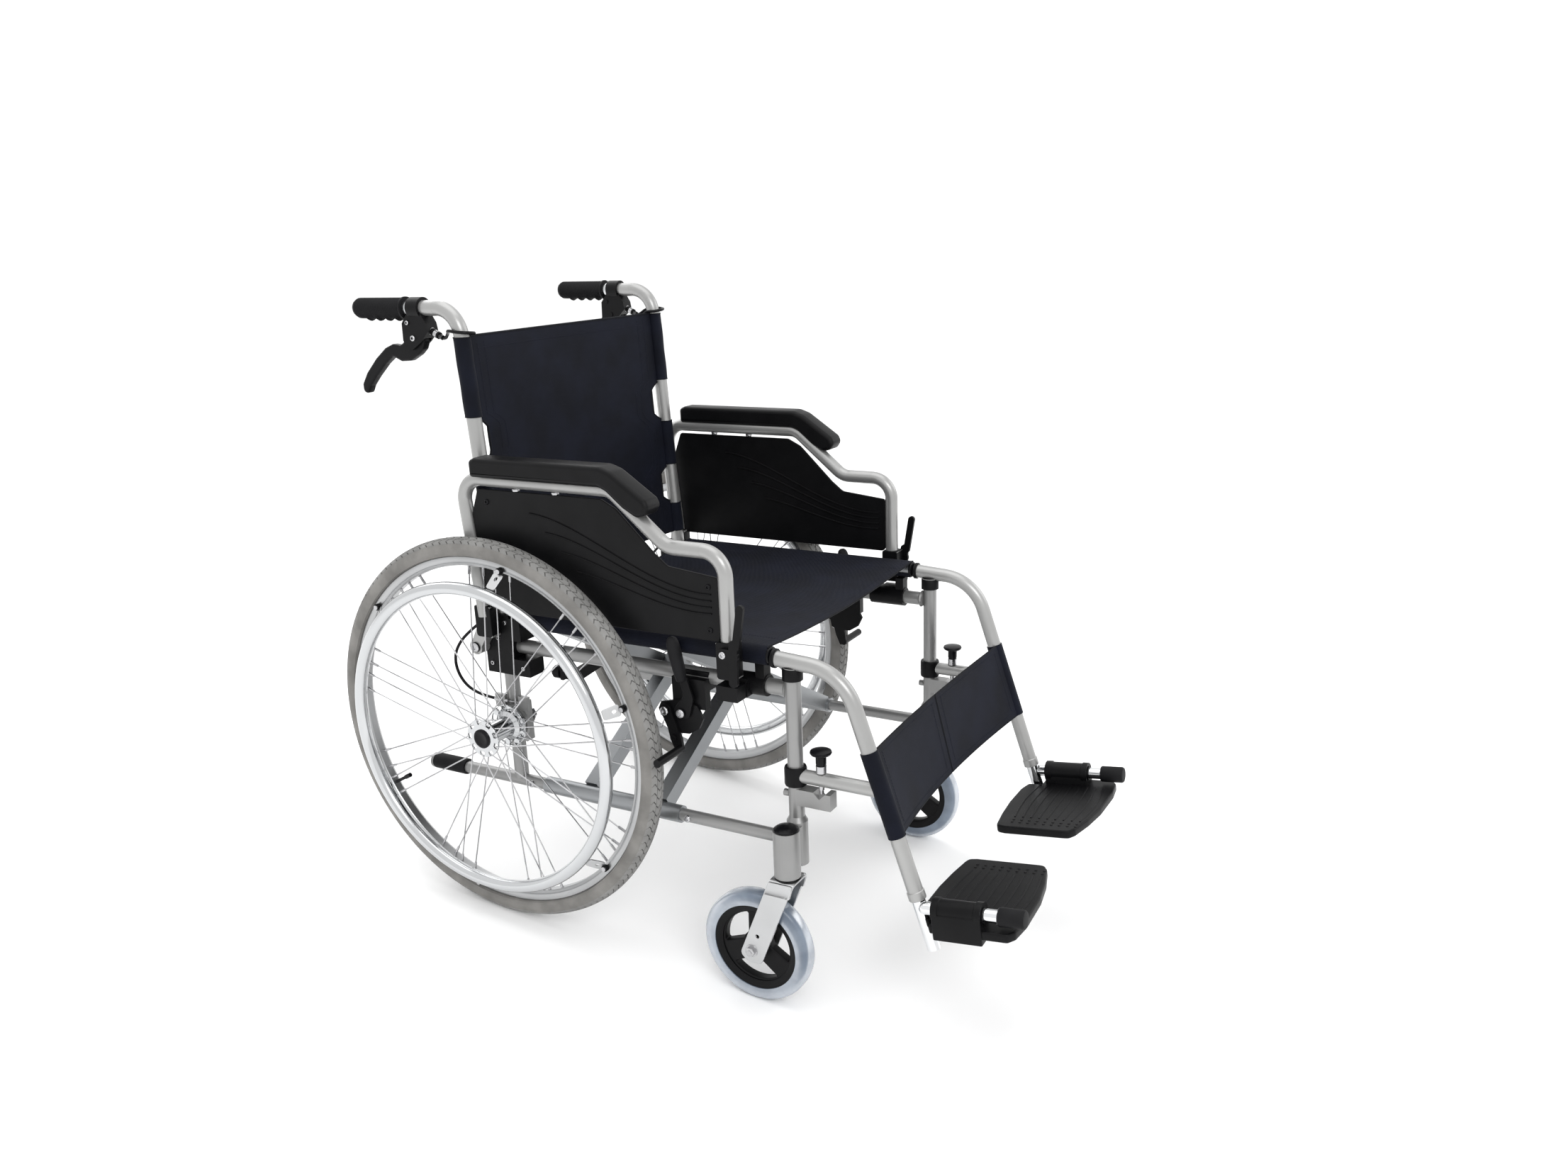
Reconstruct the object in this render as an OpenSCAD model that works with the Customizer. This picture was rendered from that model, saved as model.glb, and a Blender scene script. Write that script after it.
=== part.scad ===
// Folding manual wheelchair with spoked rear wheels, swivelling front castors,
// a double cross-brace, flip-back armrests, swing-away footrests and attendant brakes.
// The side frames are drawn level, then the whole chair is tipped back by frame_tilt
// so that all four wheels stand on the floor. Parts are drawn for the occupant's left
// (+X) and mirrored for the right. The chair faces -Y.

/* [Wheels] */
// Rear wheel radius over the tyre
wheel_r = 304; // [280:1:320]
// Distance of a rear wheel's middle plane from the centre
wheel_x = 299; // [280:1:320]
// Handrim radius to the middle of its tube
handrim_r = 237.5; // [220:0.5:250]
// Distance of the handrim from the centre
handrim_x = 340.5; // [335:0.5:350]
// Castor radius over the tyre
caster_r = 86; // [75:1:100]
// Distance of a castor's middle plane from the centre
caster_x = 280; // [276:1:285]
// Castor axle behind the front of the chair, along the level frame
caster_y = -441; // [-450:1:-430]
// Number of spokes in a rear wheel
spokes = 36; // [20:4:36]

/* [Frame] */
// Distance of the lower side rails from the centre
rail_x = 243; // [220:1:250]
// Height of the lower side rails
rail_z = 201; // [190:1:215]
// Lower rail radius
rail_r = 9.5; // [9:0.5:11]
// Distance of the upper side rails from the centre
top_x = 234; // [225:1:240]
// Height of the upper side rails
top_z = 423.6; // [415:0.1:430]
// Main tube radius
tube_r = 11.1; // [10:0.1:12.5]
// Front post distance ahead of the rear axle
post_y = -488.5; // [-495:0.5:-480]
// Distance of the front posts and back canes from the centre
post_x = 241; // [238:0.5:244]
// Distance of the seat tubes from the centre
seat_x = 241; // [238:0.5:243]
// Height of the seat tubes
seat_z = 470.4; // [460:0.1:480]
// Seat tube radius
seat_r = 12; // [11:0.5:12.5]
// Backward tip of the frame on its wheels, in degrees
frame_tilt = 5.45; // [3:0.05:6]

/* [Armrest] */
// Distance of the armrest tubes from the centre
arm_x = 268.5; // [266:0.5:269]
// Armrest tube radius
arm_r = 10.5; // [9:0.5:10.5]
// Pad inner side
pad_in = 256.3; // [256:0.1:260]
// Pad outer side
pad_out = 292.3; // [288:0.1:300]

/* [Footrest] */
// Footrest tube radius
hang_r = 11.1; // [10:0.1:12]
// Telescoping foot tube radius
foot_r = 9.5; // [8:0.1:9.6]
// Footplate length across the chair
plate_w = 190; // [160:1:195]
// Footplate thickness
plate_t = 13; // [9:1:16]

/* [Hidden] */
// fore-and-aft shift that puts the middle of the chair over the origin
shift_y = 265.3;
run = 0.06;
head_y = -492;
lean = [-0.3258, -0.9454];
caster_z = wheel_r - (wheel_r - caster_r - caster_y * sin(frame_tilt)) / cos(frame_tilt);
cross_z = rail_z + (seat_z - rail_z) * rail_x / (rail_x + seat_x);
bar_angle = atan((seat_z - rail_z) / (rail_x + seat_x));
bar_low = norm([rail_x, cross_z - rail_z]);
bar_high = norm([seat_x, seat_z - cross_z]);
flip_y = 43.5;
flip_z = 427;
toe = 7;
foot_o = [247, -684, 143.5];
$fn = 48;

function unit(v) = v / norm(v);
function turn(a, b, c) = atan2(cross(b - a, c - b), (b - a) * (c - b));
function cut(p, i, R) = (i == 0 || i == len(p) - 1) ? 0 : R * tan(abs(turn(p[i-1], p[i], p[i+1])) / 2);

// a point of the level frame's side view, along the swing-away foot tube
function down(s) = [-672 + lean[0] * s, 152 + lean[1] * s];

module placed(s = 1) {
    translate([0, shift_y, wheel_r]) rotate([-frame_tilt, 0, 0]) translate([0, 0, -wheel_r])
        if (s < 0) mirror([1, 0, 0]) children(); else children();
}

// lays a side-view drawing (Y, Z) into the plane X = x
module side(x) {
    translate([x, 0, 0]) rotate([90, 0, 90]) children();
}

module rod(a, b, r) {
    d = b - a;
    translate(a) rotate([0, acos(d[2] / norm(d)), atan2(d[1], d[0])]) cylinder(h = norm(d), r = r);
}

module ball(p, r) { translate(p) sphere(r = r); }

module along_x(x0, x1, y, z, r) {
    translate([x0, y, z]) rotate([0, 90, 0]) cylinder(h = x1 - x0, r = r);
}

module along_y(x, y0, y1, z, r) {
    translate([x, y1, z]) rotate([90, 0, 0]) cylinder(h = y1 - y0, r = r);
}

module block(lo, hi) { translate(lo) cube(hi - lo); }

// a bent tube in the plane X = x through side-view points p, with bend radius R
module bent(x, p, R, r) {
    side(x) {
        for (i = [0:len(p) - 2]) {
            u = unit(p[i+1] - p[i]);
            a = p[i] + u * cut(p, i, R);
            b = p[i+1] - u * cut(p, i + 1, R);
            translate([a[0], a[1], 0]) rotate([0, 90, atan2(u[1], u[0])]) cylinder(h = norm(b - a), r = r);
        }
        for (i = [1:len(p) - 2]) {
            w = turn(p[i-1], p[i], p[i+1]);
            u = unit(p[i] - p[i-1]);
            s = sign(w);
            q = p[i] - u * cut(p, i, R);
            c = q + s * R * [-u[1], u[0]];
            g = q - c;
            translate([c[0], c[1], 0]) rotate([0, 0, atan2(g[1], g[0]) + min(w, 0) - 0.3])
                rotate_extrude(angle = abs(w) + 0.6) translate([R, 0]) circle(r = r - 0.1);
        }
    }
}

// a flat plate of side-view outline p between x0 and x1, with corners rounded by e
module plate(x0, x1, p) {
    side(x0) linear_extrude(x1 - x0) polygon(p);
}

module pill(x0, x1, a, b, r) {
    along_x(x0, x1, a[0], a[1], r);
    along_x(x0, x1, b[0], b[1], r);
    u = unit(b - a);
    n = [-u[1], u[0]] * r;
    plate(x0, x1, [a + n, a - n, b - n, b + n]);
}

module ring(R, pts) {
    rotate([0, 90, 0]) rotate_extrude() polygon([for (q = pts) [R + q[0], q[1]]]);
}

// ---------------------------------------------------------------- side frame
module side_frame(s) color([0.66, 0.67, 0.66]) placed(s) difference() {
    union() {
        along_y(rail_x, -478, 122, rail_z, rail_r);
        along_y(rail_x, 122, 192, rail_z, 12.5);
        along_y(top_x, -480, -10, top_z, tube_r);
        rod([post_x, post_y, 232], [post_x, post_y, 441], tube_r);
        rod([post_x, post_y, 166], [post_x, post_y, 232], 15);
        translate([post_x, post_y, 232]) cylinder(h = 7, r1 = 15, r2 = tube_r);
        rod([caster_x, head_y, 165], [caster_x, head_y, 234], 19);
        block([246, -501, 172], [270, -477, 228]);
        rod([post_x, 9.7, 203], [post_x, 8.6, 383], tube_r);
        along_x(229, 254, 0, wheel_r, 15);
        block([232, -17, 272], [250, 9, 336]);
        along_x(254, 259.4, 0, wheel_r, 29);
        block([251, -31, 326], [257, -13, 349]);
        block([251, 14, 326], [257, 33, 347]);
        along_x(215, 229, 0, wheel_r, 9);
        along_x(254, 326, 0, wheel_r, 8);
        along_y(post_x, -478, -470, 271, 5);
        difference() {
            block([231, -546, 259], [251, -486, 283]);
            translate([0, -529, 283]) rotate([45, 0, 0]) cube([600, 13, 13], center = true);
        }
    }
    rod([post_x, post_y, 400], [post_x, post_y, 445], 8 + run);
    rod([caster_x, head_y, 160], [caster_x, head_y, 226], 8 + run);
}

module rear_bracket(s) color([0.07, 0.07, 0.08]) placed(s) difference() {
    union() {
        block([223, -10, 383], [256.4, 40, 478]);
        block([223, -42, 383], [256.4, -10, 409]);
        block([223, -30, 438], [256.4, -10, 473]);
        along_x(223, 256.4, flip_y, flip_z, 12);
        along_x(256.4, 277.2, flip_y, flip_z, 5);
        along_x(275.4, 277.2, flip_y, flip_z, 8);
        for (q = [[-2, 466], [14, 440], [30, 398], [-30, 396]]) along_x(256.4, 258, q[0], q[1], 4);
    }
    rod([post_x, 8.9, 350], [post_x, 8.6, 383.1], tube_r + 0.02);
    rod([post_x, cane_at(412)[0], 412], [post_x, cane_at(500)[0], 500], tube_r + 0.02);
    along_y(top_x, -80, -9.9, top_z, tube_r + 0.05);
    along_y(seat_x, -60, -9.9, seat_z, seat_r + 1.9);
    block([seat_x - 13.9, -60, seat_z], [seat_x + 13.9, -9.9, 500]);
}

module cane_shape(s, grow) {
    bent(post_x, [cane_at(412), [36.6, 926], [226, 926]], 42, tube_r + grow);
}

module back_cane(s) color([0.74, 0.75, 0.73]) placed(s) cane_shape(s, 0);

module push_grip(s) color([0.05, 0.05, 0.055]) placed(s) difference() {
    union() {
        along_y(post_x, 136, 232, 926, 15);
        ball([post_x, 231, 926], 15);
        for (i = [0:3]) block([post_x - 9, 150 + 18 * i, 906.5], [post_x + 9, 159 + 18 * i, 918]);
        along_y(post_x, 133, 139, 926, 16);
    }
    along_y(post_x, 100, 226.02, 926, tube_r + 0.02);
}

module lever_mount(s) color([0.06, 0.06, 0.07]) placed(s) {
    difference() {
        union() {
            along_y(post_x, 101, 123, 926, 15.5);
            plate(post_x - 11, post_x + 11, [[101, 922], [123, 922], [137, 905], [138, 880], [122, 867],
                [104, 878], [88, 893], [90, 905]]);
            rod([post_x, 96, 896], [post_x, 76, 887], 5.2);
            rod([post_x, 76, 887], [post_x, 70, 884.3], 3.6);
            along_x(post_x - 12.4, post_x + 12.4, 126, 906, 3.5);
        }
        along_y(post_x, 90, 140, 926, tube_r + 0.02);
        block([post_x - 8, 98, 850], [post_x + 8, 150, 899]);
    }
    along_x(post_x - 12.4, post_x + 12.4, 118, 884, 4);
}

module brake_lever(s) color([0.05, 0.05, 0.06]) placed(s) difference() {
    union() {
        along_x(post_x - 7.4, post_x + 7.4, 118, 884, 11);
        plate(post_x - 7, post_x + 7, [[112, 893], [103, 888], [101, 878], [106, 868], [116, 860],
            [134, 851], [152, 850], [168, 857], [186, 845], [208, 826], [222, 812], [229, 800],
            [238, 803], [238, 815], [226, 832], [204, 853], [182, 869], [166, 875], [152, 873],
            [144, 877], [136, 890], [124, 894]]);
    }
    along_x(post_x - 20, post_x + 20, 118, 884, 4 + run);
}

// ---------------------------------------------------------------- brake cable
// points of the cable's middle line, from the lever's adjuster to the hub brake
cable_route = [[241, 68.6, 883.7], [242, 63, 885], [246, 55, 891], [254.4, 46, 895], [255.2, 34, 894],
    [252, 22, 893], [244, 16.5, 892], [234, 17, 891], [227, 24, 890], [223, 36, 889], [222, 44, 882],
    [222, 46, 868], [223, 42, 830], [223, 39, 780], [223, 36, 720], [223, 32, 660], [223, 29, 600],
    [223, 27, 550], [223, 29, 515], [225, 36, 490], [229, 45, 472], [234, 60, 457],
    [239, 81, 441], [242, 103, 421], [244, 116, 401], [246, 118, 382], [248, 111, 364],
    [251, 95, 350], [253, 74, 342], [254.3, 52, 339], [254.3, 33.1, 337.5]];
cable_sides = 8;

function tangent(p, i) = unit(p[min(i + 1, len(p) - 1)] - p[max(i - 1, 0)]);
function ring_at(p, i, r) =
    let (t = tangent(p, i), a = unit(cross(t, [1, 0.2, 0.1])), b = cross(t, a))
    [for (k = [0:cable_sides - 1]) p[i] + r * (a * cos(360 * k / cable_sides) + b * sin(360 * k / cable_sides))];

module swept(p, r) {
    n = cable_sides;
    m = len(p);
    pts = [for (i = [0:m - 1]) each ring_at(p, i, r)];
    walls = [for (i = [0:m - 2]) for (k = [0:n - 1]) for (f = [0:1])
        f == 0 ? [i * n + k, (i + 1) * n + k, i * n + (k + 1) % n]
        : [i * n + (k + 1) % n, (i + 1) * n + k, (i + 1) * n + (k + 1) % n]];
    polyhedron(points = pts, faces = concat([[for (k = [0:n - 1]) k]], walls,
        [[for (k = [0:n - 1]) (m - 1) * n + n - 1 - k]]));
}

module brake_cable(s) color([0.04, 0.04, 0.045]) placed(s) swept(cable_route, 2.4);

// ------------------------------------------- fittings clamped to the upper rail
module rail_fittings(s) color([0.07, 0.07, 0.08]) placed(s) difference() {
    union() {
        along_y(top_x, -447, -387, top_z, 15.5);
        block([top_x, -425, 410], [255.8, -391, 436]);
        block([256.4, -424, 410], [281, -391, 431]);
        block([250, -424, 410], [258, -391, 424]);
        block([top_x - 8, -446, 430], [top_x + 10, -432, 456.6]);
        block([top_x - 8, -190, 432], [top_x + 10, -168, 456.6]);
        block([top_x - 8, -356, 405], [top_x + 11, -302, 432]);
        block([244, -357, 380], [257, -302, 424]);
        side(257) linear_extrude(4) polygon([[-345, 386], [-322, 392], [-300, 388], [-284, 384],
            [-279, 374], [-282, 364], [-292, 358], [-294, 346], [-306, 340], [-330, 342], [-346, 352], [-354, 368]]);
        along_x(261, 268.4, -321, 374, 4);
        along_x(266.6, 268.4, -321, 374, 6.5);
        along_x(261, 268.4, -294, 374, 4);
        along_x(266.6, 268.4, -294, 374, 6.5);
        block([224, -90, 396], [238, -84.5, 418]);
        block([224, -90, 380], [238, -84.5, 400]);
        along_y(231, -86, -68.4, 390, 4);
        along_y(231, -70.2, -68.4, 390, 7);
    }
    along_y(top_x, -500, -20, top_z, tube_r);
    translate([seat_x, 0, seat_z]) rotate([90, 0, 0]) cylinder(h = 900, r = seat_r + 1.9, center = true);
}

module lock_lever(s) color([0.06, 0.06, 0.07]) placed(s) difference() {
    union() {
        along_x(261.4, 266.2, -321, 374, 12);
        plate(261.4, 266.2, [[-329, 366], [-312, 376], [-326, 400], [-320, 428], [-332, 430], [-341, 398]]);
        rod([266.8, -325, 426], [266.8, -314, 478], 9.4);
        ball([266.8, -314.2, 477], 9.3);
    }
    along_x(250, 280, -321, 374, 4 + run);
}

module lock_shoe(s) color([0.09, 0.09, 0.1]) placed(s) difference() {
    union() {
        along_x(261.4, 266.2, -294, 374, 10);
        plate(261.4, 266.2, [[-303, 376], [-286, 370], [-296, 348], [-300, 330], [-308, 312], [-320, 314], [-318, 334], [-310, 356]]);
        along_x(261.4, 324, -314.6, 318, 6);
        along_x(266.2, 269, -306, 334, 5);
    }
    along_x(250, 280, -294, 374, 4 + run);
}

// ---------------------------------------------------------------- rear wheel
module tyre(s) color([0.42, 0.41, 0.39]) placed(s) translate([wheel_x, 0, wheel_r])
    rotate([0, 90, 0]) rotate_extrude($fn = 96) intersection() {
        translate([286.5, 0]) circle(r = 17.5);
        translate([277, -20]) square([40, 40]);
    }

module rim(s) color([0.7, 0.71, 0.7]) placed(s) translate([wheel_x, 0, wheel_r])
    rotate([0, 90, 0]) rotate_extrude($fn = 96) polygon([[262, -6], [266, -12.5], [277, -12.5],
        [277, 12.5], [266, 12.5], [262, 6]]);

module hub(s) color([0.8, 0.81, 0.82]) placed(s) difference() {
    union() {
        along_x(260, 268, 0, wheel_r, 27);
        along_x(268, 271.5, 0, wheel_r, 33);
        along_x(271.5, 280, 0, wheel_r, 22);
        along_x(280, 325, 0, wheel_r, 15.5);
        along_x(325, 328.5, 0, wheel_r, 30);
        along_x(328.5, 333, 0, wheel_r, 15);
        for (i = [0:spokes - 1]) {
            inner = i % 2;
            back = floor(i / 2) % 2;
            a = 360 * i / spokes + (back == 1 ? 22 : -22);
            b = 360 * i / spokes + (back == 1 ? -20 : 20) * 0.35;
            rod([inner == 1 ? 269.8 : 326.8, 29 * cos(a), wheel_r + 29 * sin(a)],
                [wheel_x + (inner == 1 ? -2 : 2), 261.8 * cos(b), wheel_r + 261.8 * sin(b)], 1.1);
        }
    }
    along_x(250, 327, 0, wheel_r, 8 + run);
}

module handrim(s) color([0.82, 0.83, 0.84]) placed(s) translate([0, 0, wheel_r]) {
    translate([handrim_x, 0, 0]) rotate([0, 90, 0]) rotate_extrude($fn = 96) translate([handrim_r, 0]) circle(r = 9.5);
    for (i = [0:5]) rotate([60 * i + 12, 0, 0])
        translate([0, 8, 0]) rotate([90, 0, 0]) linear_extrude(16)
            polygon([[333, 242.5], [337.5, 244], [316, 272], [311.5, 272], [311.5, 265]]);
}

// ---------------------------------------------------------------- castor
module caster_fork(s) color([0.82, 0.83, 0.83]) placed(s) {
    difference() {
        union() {
            for (x = [caster_x - 23, caster_x + 19]) {
                plate(x, x + 4, [[-510, 161], [-474, 161], [caster_y + 15, caster_z - 10],
                    [caster_y - 17, caster_z - 16]]);
            }
            block([caster_x - 23, -512, 157], [caster_x + 23, -472, 162]);
            rod([caster_x, head_y, 161], [caster_x, head_y, 164.6], 14);
        }
        along_x(caster_x - 30, caster_x + 30, -451.5, caster_z + 25.5, 3.2);
    }
    rod([caster_x, head_y, 161], [caster_x, head_y, 225], 8);
    along_x(caster_x - 29, caster_x + 31, caster_y, caster_z, 4);
    along_x(caster_x - 27.5, caster_x - 23, caster_y, caster_z, 6.5);
    along_x(caster_x + 23, caster_x + 28, caster_y, caster_z, 6.5);
}

module caster_core(s) color([0.05, 0.05, 0.055]) placed(s)
    translate([caster_x, caster_y, caster_z]) rotate([0, 90, 0]) difference() {
        union() {
            translate([0, 0, -18]) cylinder(h = 36, r = 12);
            translate([0, 0, -11]) difference() {
                cylinder(h = 22, r = 66);
                translate([0, 0, -1]) cylinder(h = 24, r = 54);
            }
            for (a = [90, 210, 330]) rotate([0, 0, a]) translate([0, 0, -8])
                linear_extrude(16) polygon([[8, -9], [30, -8], [58, -16], [58, 16], [30, 8], [8, 9]]);
        }
        translate([0, 0, -30]) cylinder(h = 60, r = 4 + run);
    }

module caster_tyre(s) color([0.45, 0.5, 0.56]) placed(s)
    translate([caster_x, caster_y, caster_z]) rotate([0, 90, 0]) rotate_extrude($fn = 96)
        polygon([[66, -14], [78, -14.5], [83.5, -11.5], [caster_r - 0.4, -7], [caster_r, -3],
            [caster_r, 3], [caster_r - 0.4, 7], [83.5, 11.5], [78, 14.5], [66, 14]]);

// ---------------------------------------------------------------- cross brace
// one bar of the cross from the lower sleeve to the seat tube, at depth y
module bar(y) {
    difference() {
        translate([-rail_x, y, rail_z]) rotate([0, -bar_angle, 0])
            translate([11, -11, -13]) cube([bar_low + bar_high - 11, 22, 26]);
        block([seat_x - 60, y - 20, seat_z + 2], [seat_x + 40, y + 20, seat_z + 40]);
    }
}

module brace(ya, yb) {
    difference() {
        union() {
            along_y(-rail_x, -296, -44, rail_z, 13);
            along_y(seat_x, -456, -11.5, seat_z, seat_r);
            bar(ya);
            bar(yb);
        }
        along_y(-rail_x, -300, -40, rail_z, rail_r + run);
        translate([0, 0, cross_z]) rotate([90, 0, 0]) cylinder(h = 900, r = 5 + run, center = true);
    }
}

module brace_a() color([0.72, 0.73, 0.74]) placed() {
    brace(-255, -126);
    along_y(0, -297, -244, cross_z, 5);
    along_y(0, -137, -84, cross_z, 5);
    along_y(0, -265, -245, cross_z, 8);
    along_y(0, -136, -116, cross_z, 8);
    along_y(0, -297, -294, cross_z, 9);
    along_y(0, -87, -84, cross_z, 9);
}

module brace_b() color([0.7, 0.71, 0.72]) placed(-1) brace(-282, -99);

module fold_link_shape(y) {
    difference() {
        union() {
            along_y(231, y, y + 11, 390, 10);
            along_y(78, y, y + 11, cross_z + 78 * tan(bar_angle), 9);
            translate([0, y + 11, 0]) rotate([90, 0, 0]) linear_extrude(11)
                polygon([[237, 383], [224, 397], [190, 380], [82, cross_z + 78 * tan(bar_angle) + 7],
                    [74, cross_z + 78 * tan(bar_angle) - 7], [194, 362]]);
        }
        along_y(231, y - 5, y + 20, 390, 4 + run);
        along_y(78, y - 5, y + 20, cross_z + 78 * tan(bar_angle), 5);
    }
}

module fold_link(s) color([0.06, 0.06, 0.07]) placed(s) fold_link_shape(-83);

// ---------------------------------------------------------------- slings
module seat_sling() color([0.05, 0.06, 0.1]) placed() {
    difference() {
        union() {
            for (s = [-1, 1]) along_y(s * seat_x, -454, -12, seat_z, seat_r + 1.6);
            block([-seat_x, -454, seat_z + 3], [seat_x, -12, seat_z + seat_r + 1.6]);
        }
        for (s = [-1, 1]) along_y(s * seat_x, -500, 0, seat_z, seat_r + 0.3);
        for (s = [-1, 1]) block([s * seat_x - 14, -500, 440], [s * seat_x + 14, 0, seat_z - 4]);
        block([-seat_x, -500, 440], [seat_x, 0, seat_z + 3]);
    }
}

module back_sling() color([0.05, 0.06, 0.1]) placed() {
    t = atan2(454, 25.2);
    for (z = [[500, 552], [622, 700], [772, 886]]) difference() {
        for (s = [-1, 1]) cane_part(s, z[0], z[1], tube_r + 1.3);
        for (s = [-1, 1]) cane_part(s, z[0] - 5, z[1] + 5, tube_r + 0.02);
    }
    side(-228) linear_extrude(456) polygon([cane_at(500) + [-1.5, 0], cane_at(500) + [1.5, 0],
        cane_at(886) + [1.5, 0], cane_at(886) + [-1.5, 0]]);
}

function cane_at(z) = [11.4 + (z - 472) * 25.2 / 454, z];

module cane_part(s, z0, z1, r) {
    rod([s * post_x, cane_at(z0)[0], z0], [s * post_x, cane_at(z1)[0], z1], r);
}

// ---------------------------------------------------------------- armrest
arm_path = [[-407, 470], [-407, 615], [-317, 615], [-229, 688], [40, 688], [23, 478]];

module arm_tube(s) color([0.76, 0.77, 0.75]) placed(s) difference() {
    union() {
        bent(arm_x, arm_path, 34, arm_r);
        block([257.6, -421, 441], [281, -394, 492]);
        block([257.2, 8, 446], [275, 38, 494]);
        hinge_lug();
    }
    along_x(250, 290, flip_y, flip_z, 5 + run);
    along_x(275, 290, flip_y, flip_z, 9);
}

module hinge_lug() {
    along_x(257.2, 275, flip_y, flip_z, 12);
    plate(257.2, 275, [[33, 427], [54, 429], [38, 458], [17, 452]]);
}

module arm_pad(s) color([0.06, 0.06, 0.07]) placed(s) difference() {
    plate(pad_in, pad_out, [[4, 694], [4, 716], [0, 720], [-228, 723], [-246, 716], [-302, 678],
        [-305, 668], [-298, 660], [-284, 656], [-262, 668], [-234, 690], [-226, 694]]);
    bent(arm_x, arm_path, 34, arm_r);
}

module arm_skirt(s) color([0.05, 0.06, 0.08]) placed(s)
    plate(266.5, 270.5, [[25, 638], [10, 674], [-212, 674], [-296, 602], [-316, 588], [-396.2, 580],
        [-396.2, 493], [-393.5, 493], [-393.5, 490], [7.5, 490], [7.5, 495], [13.4, 495]]);

module arm_lever(s) color([0.05, 0.05, 0.06]) placed(s) {
    pill(281.3, 286.3, [-407, 478], [-422, 478], 9);
    pill(281.3, 286.3, [-424, 494], [-422, 440], 6.5);
    pill(281.3, 286.3, [-428, 492], [-437, 545], 5.5);
}

// ---------------------------------------------------------------- footrest
hang_path = [[-464, 468], [-565.14, 462.1], [-672, 152]];

module hanger(s) color([0.74, 0.75, 0.74]) placed(s) difference() {
    union() {
        bent(post_x + 2, hang_path, 74, hang_r);
        along_y(post_x + 2, -466, -462, 468.2, 13);
        rod([post_x, post_y, 441.4], [post_x, post_y, 459], 13.5);
        rod([post_x, post_y, 403], [post_x, post_y, 445], 8);
        rod([post_x, post_y, 287], [post_x, post_y, 313.6], 14.4);
        along_y(post_x + 1, -614, -500, 301, 10);
    }
    rod([post_x, post_y, 280], [post_x, post_y, 320], tube_r + run);
    rod([post_x + 2, down(10)[0], down(10)[1]], [post_x + 2, down(-150)[0], down(-150)[1]], foot_r + run);
    rod([post_x + 1, -529, 284], [post_x + 1, -529, 320], 4 + run);
}

module hanger_knob(s) color([0.05, 0.05, 0.055]) placed(s) {
    rod([post_x + 1, -529, 280], [post_x + 1, -529, 286], 3);
    rod([post_x + 1, -529, 286], [post_x + 1, -529, 322], 4);
    rod([post_x + 1, -529, 311.6], [post_x + 1, -529, 338], 7.5);
    translate([post_x + 1, -529, 336]) cylinder(h = 5, r1 = 11, r2 = 15.5);
    translate([post_x + 1, -529, 341]) cylinder(h = 3, r1 = 15.5, r2 = 12);
}

module strap_shape(s) {
    a = down(-215);
    b = down(-92);
    n = [lean[1], -lean[0]];
    rod([post_x + 2, a[0], a[1]], [post_x + 2, b[0], b[1]], hang_r + 1.6);
    inner = s > 0 ? 4 : 0;
    side(inner) linear_extrude(post_x - 8 - inner)
        polygon([a + n * 6, b + n * 6, b + n * 9, a + n * 9]);
}

module calf_strap(s) color([0.05, 0.06, 0.1]) placed(s) difference() {
    strap_shape(s);
    rod([post_x + 2, down(-235)[0], down(-235)[1]], [post_x + 2, down(-75)[0], down(-75)[1]], hang_r + 0.02);
    along_y(post_x + 1, -614, -590, 301, 10.1);
}

module foot_tube(s) color([0.82, 0.83, 0.84]) placed(s) difference() {
    union() {
        rod([post_x + 2, down(74)[0], down(74)[1]], [post_x + 2, down(-60)[0], down(-60)[1]], foot_r);
        rod([post_x + 2, down(10)[0], down(10)[1]], foot_o, 8);
        foot_axis() {
            translate([0, 0, 0]) cylinder(h = 139, r = 9);
            translate([0, 0, 106]) cylinder(h = 33, r = 12.5);
            sphere(r = 9);
        }
    }
}

module foot_axis() {
    translate(foot_o) rotate([90 - toe, 0, 0]) children();
}

module plate_bush(s) color([0.2, 0.2, 0.21]) placed(s) foot_axis() difference() {
    translate([0, 0, 12]) cylinder(h = 74, r = 11.4);
    translate([0, 0, 0]) cylinder(h = 90, r = 9 + run);
}

// drawn along the hinge tube: local Z runs forward, local Y up, local X outward
module footplate(s) color([0.05, 0.05, 0.055]) placed(s) foot_axis() difference() {
    union() {
        translate([0, 0, 14]) cylinder(h = 70, r = 17);
        translate([-15, -38, 14]) cube([32, 38, 70]);
        translate([0, -17 - plate_t, 0]) rotate([-90, 0, 0]) linear_extrude(plate_t)
            polygon([for (q = [[14, -8], [14, -119], [4, -127], [-30, -131], [-95, -129], [-140, -122],
                [-178, -112], [-plate_w + 1, -106], [-plate_w, -98], [-plate_w, 2], [-plate_w + 3, 10],
                [-plate_w + 12, 13], [-140, 18], [-95, 21], [-40, 20], [-18, 14], [-18, -8]]) q]);
    }
    translate([0, 0, 8]) cylinder(h = 90, r = 11.4 + run);
    translate([0, 0, -40]) cylinder(h = 54, r = 14);
    translate([0, 0, 84]) cylinder(h = 80, r = 14);
}

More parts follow.
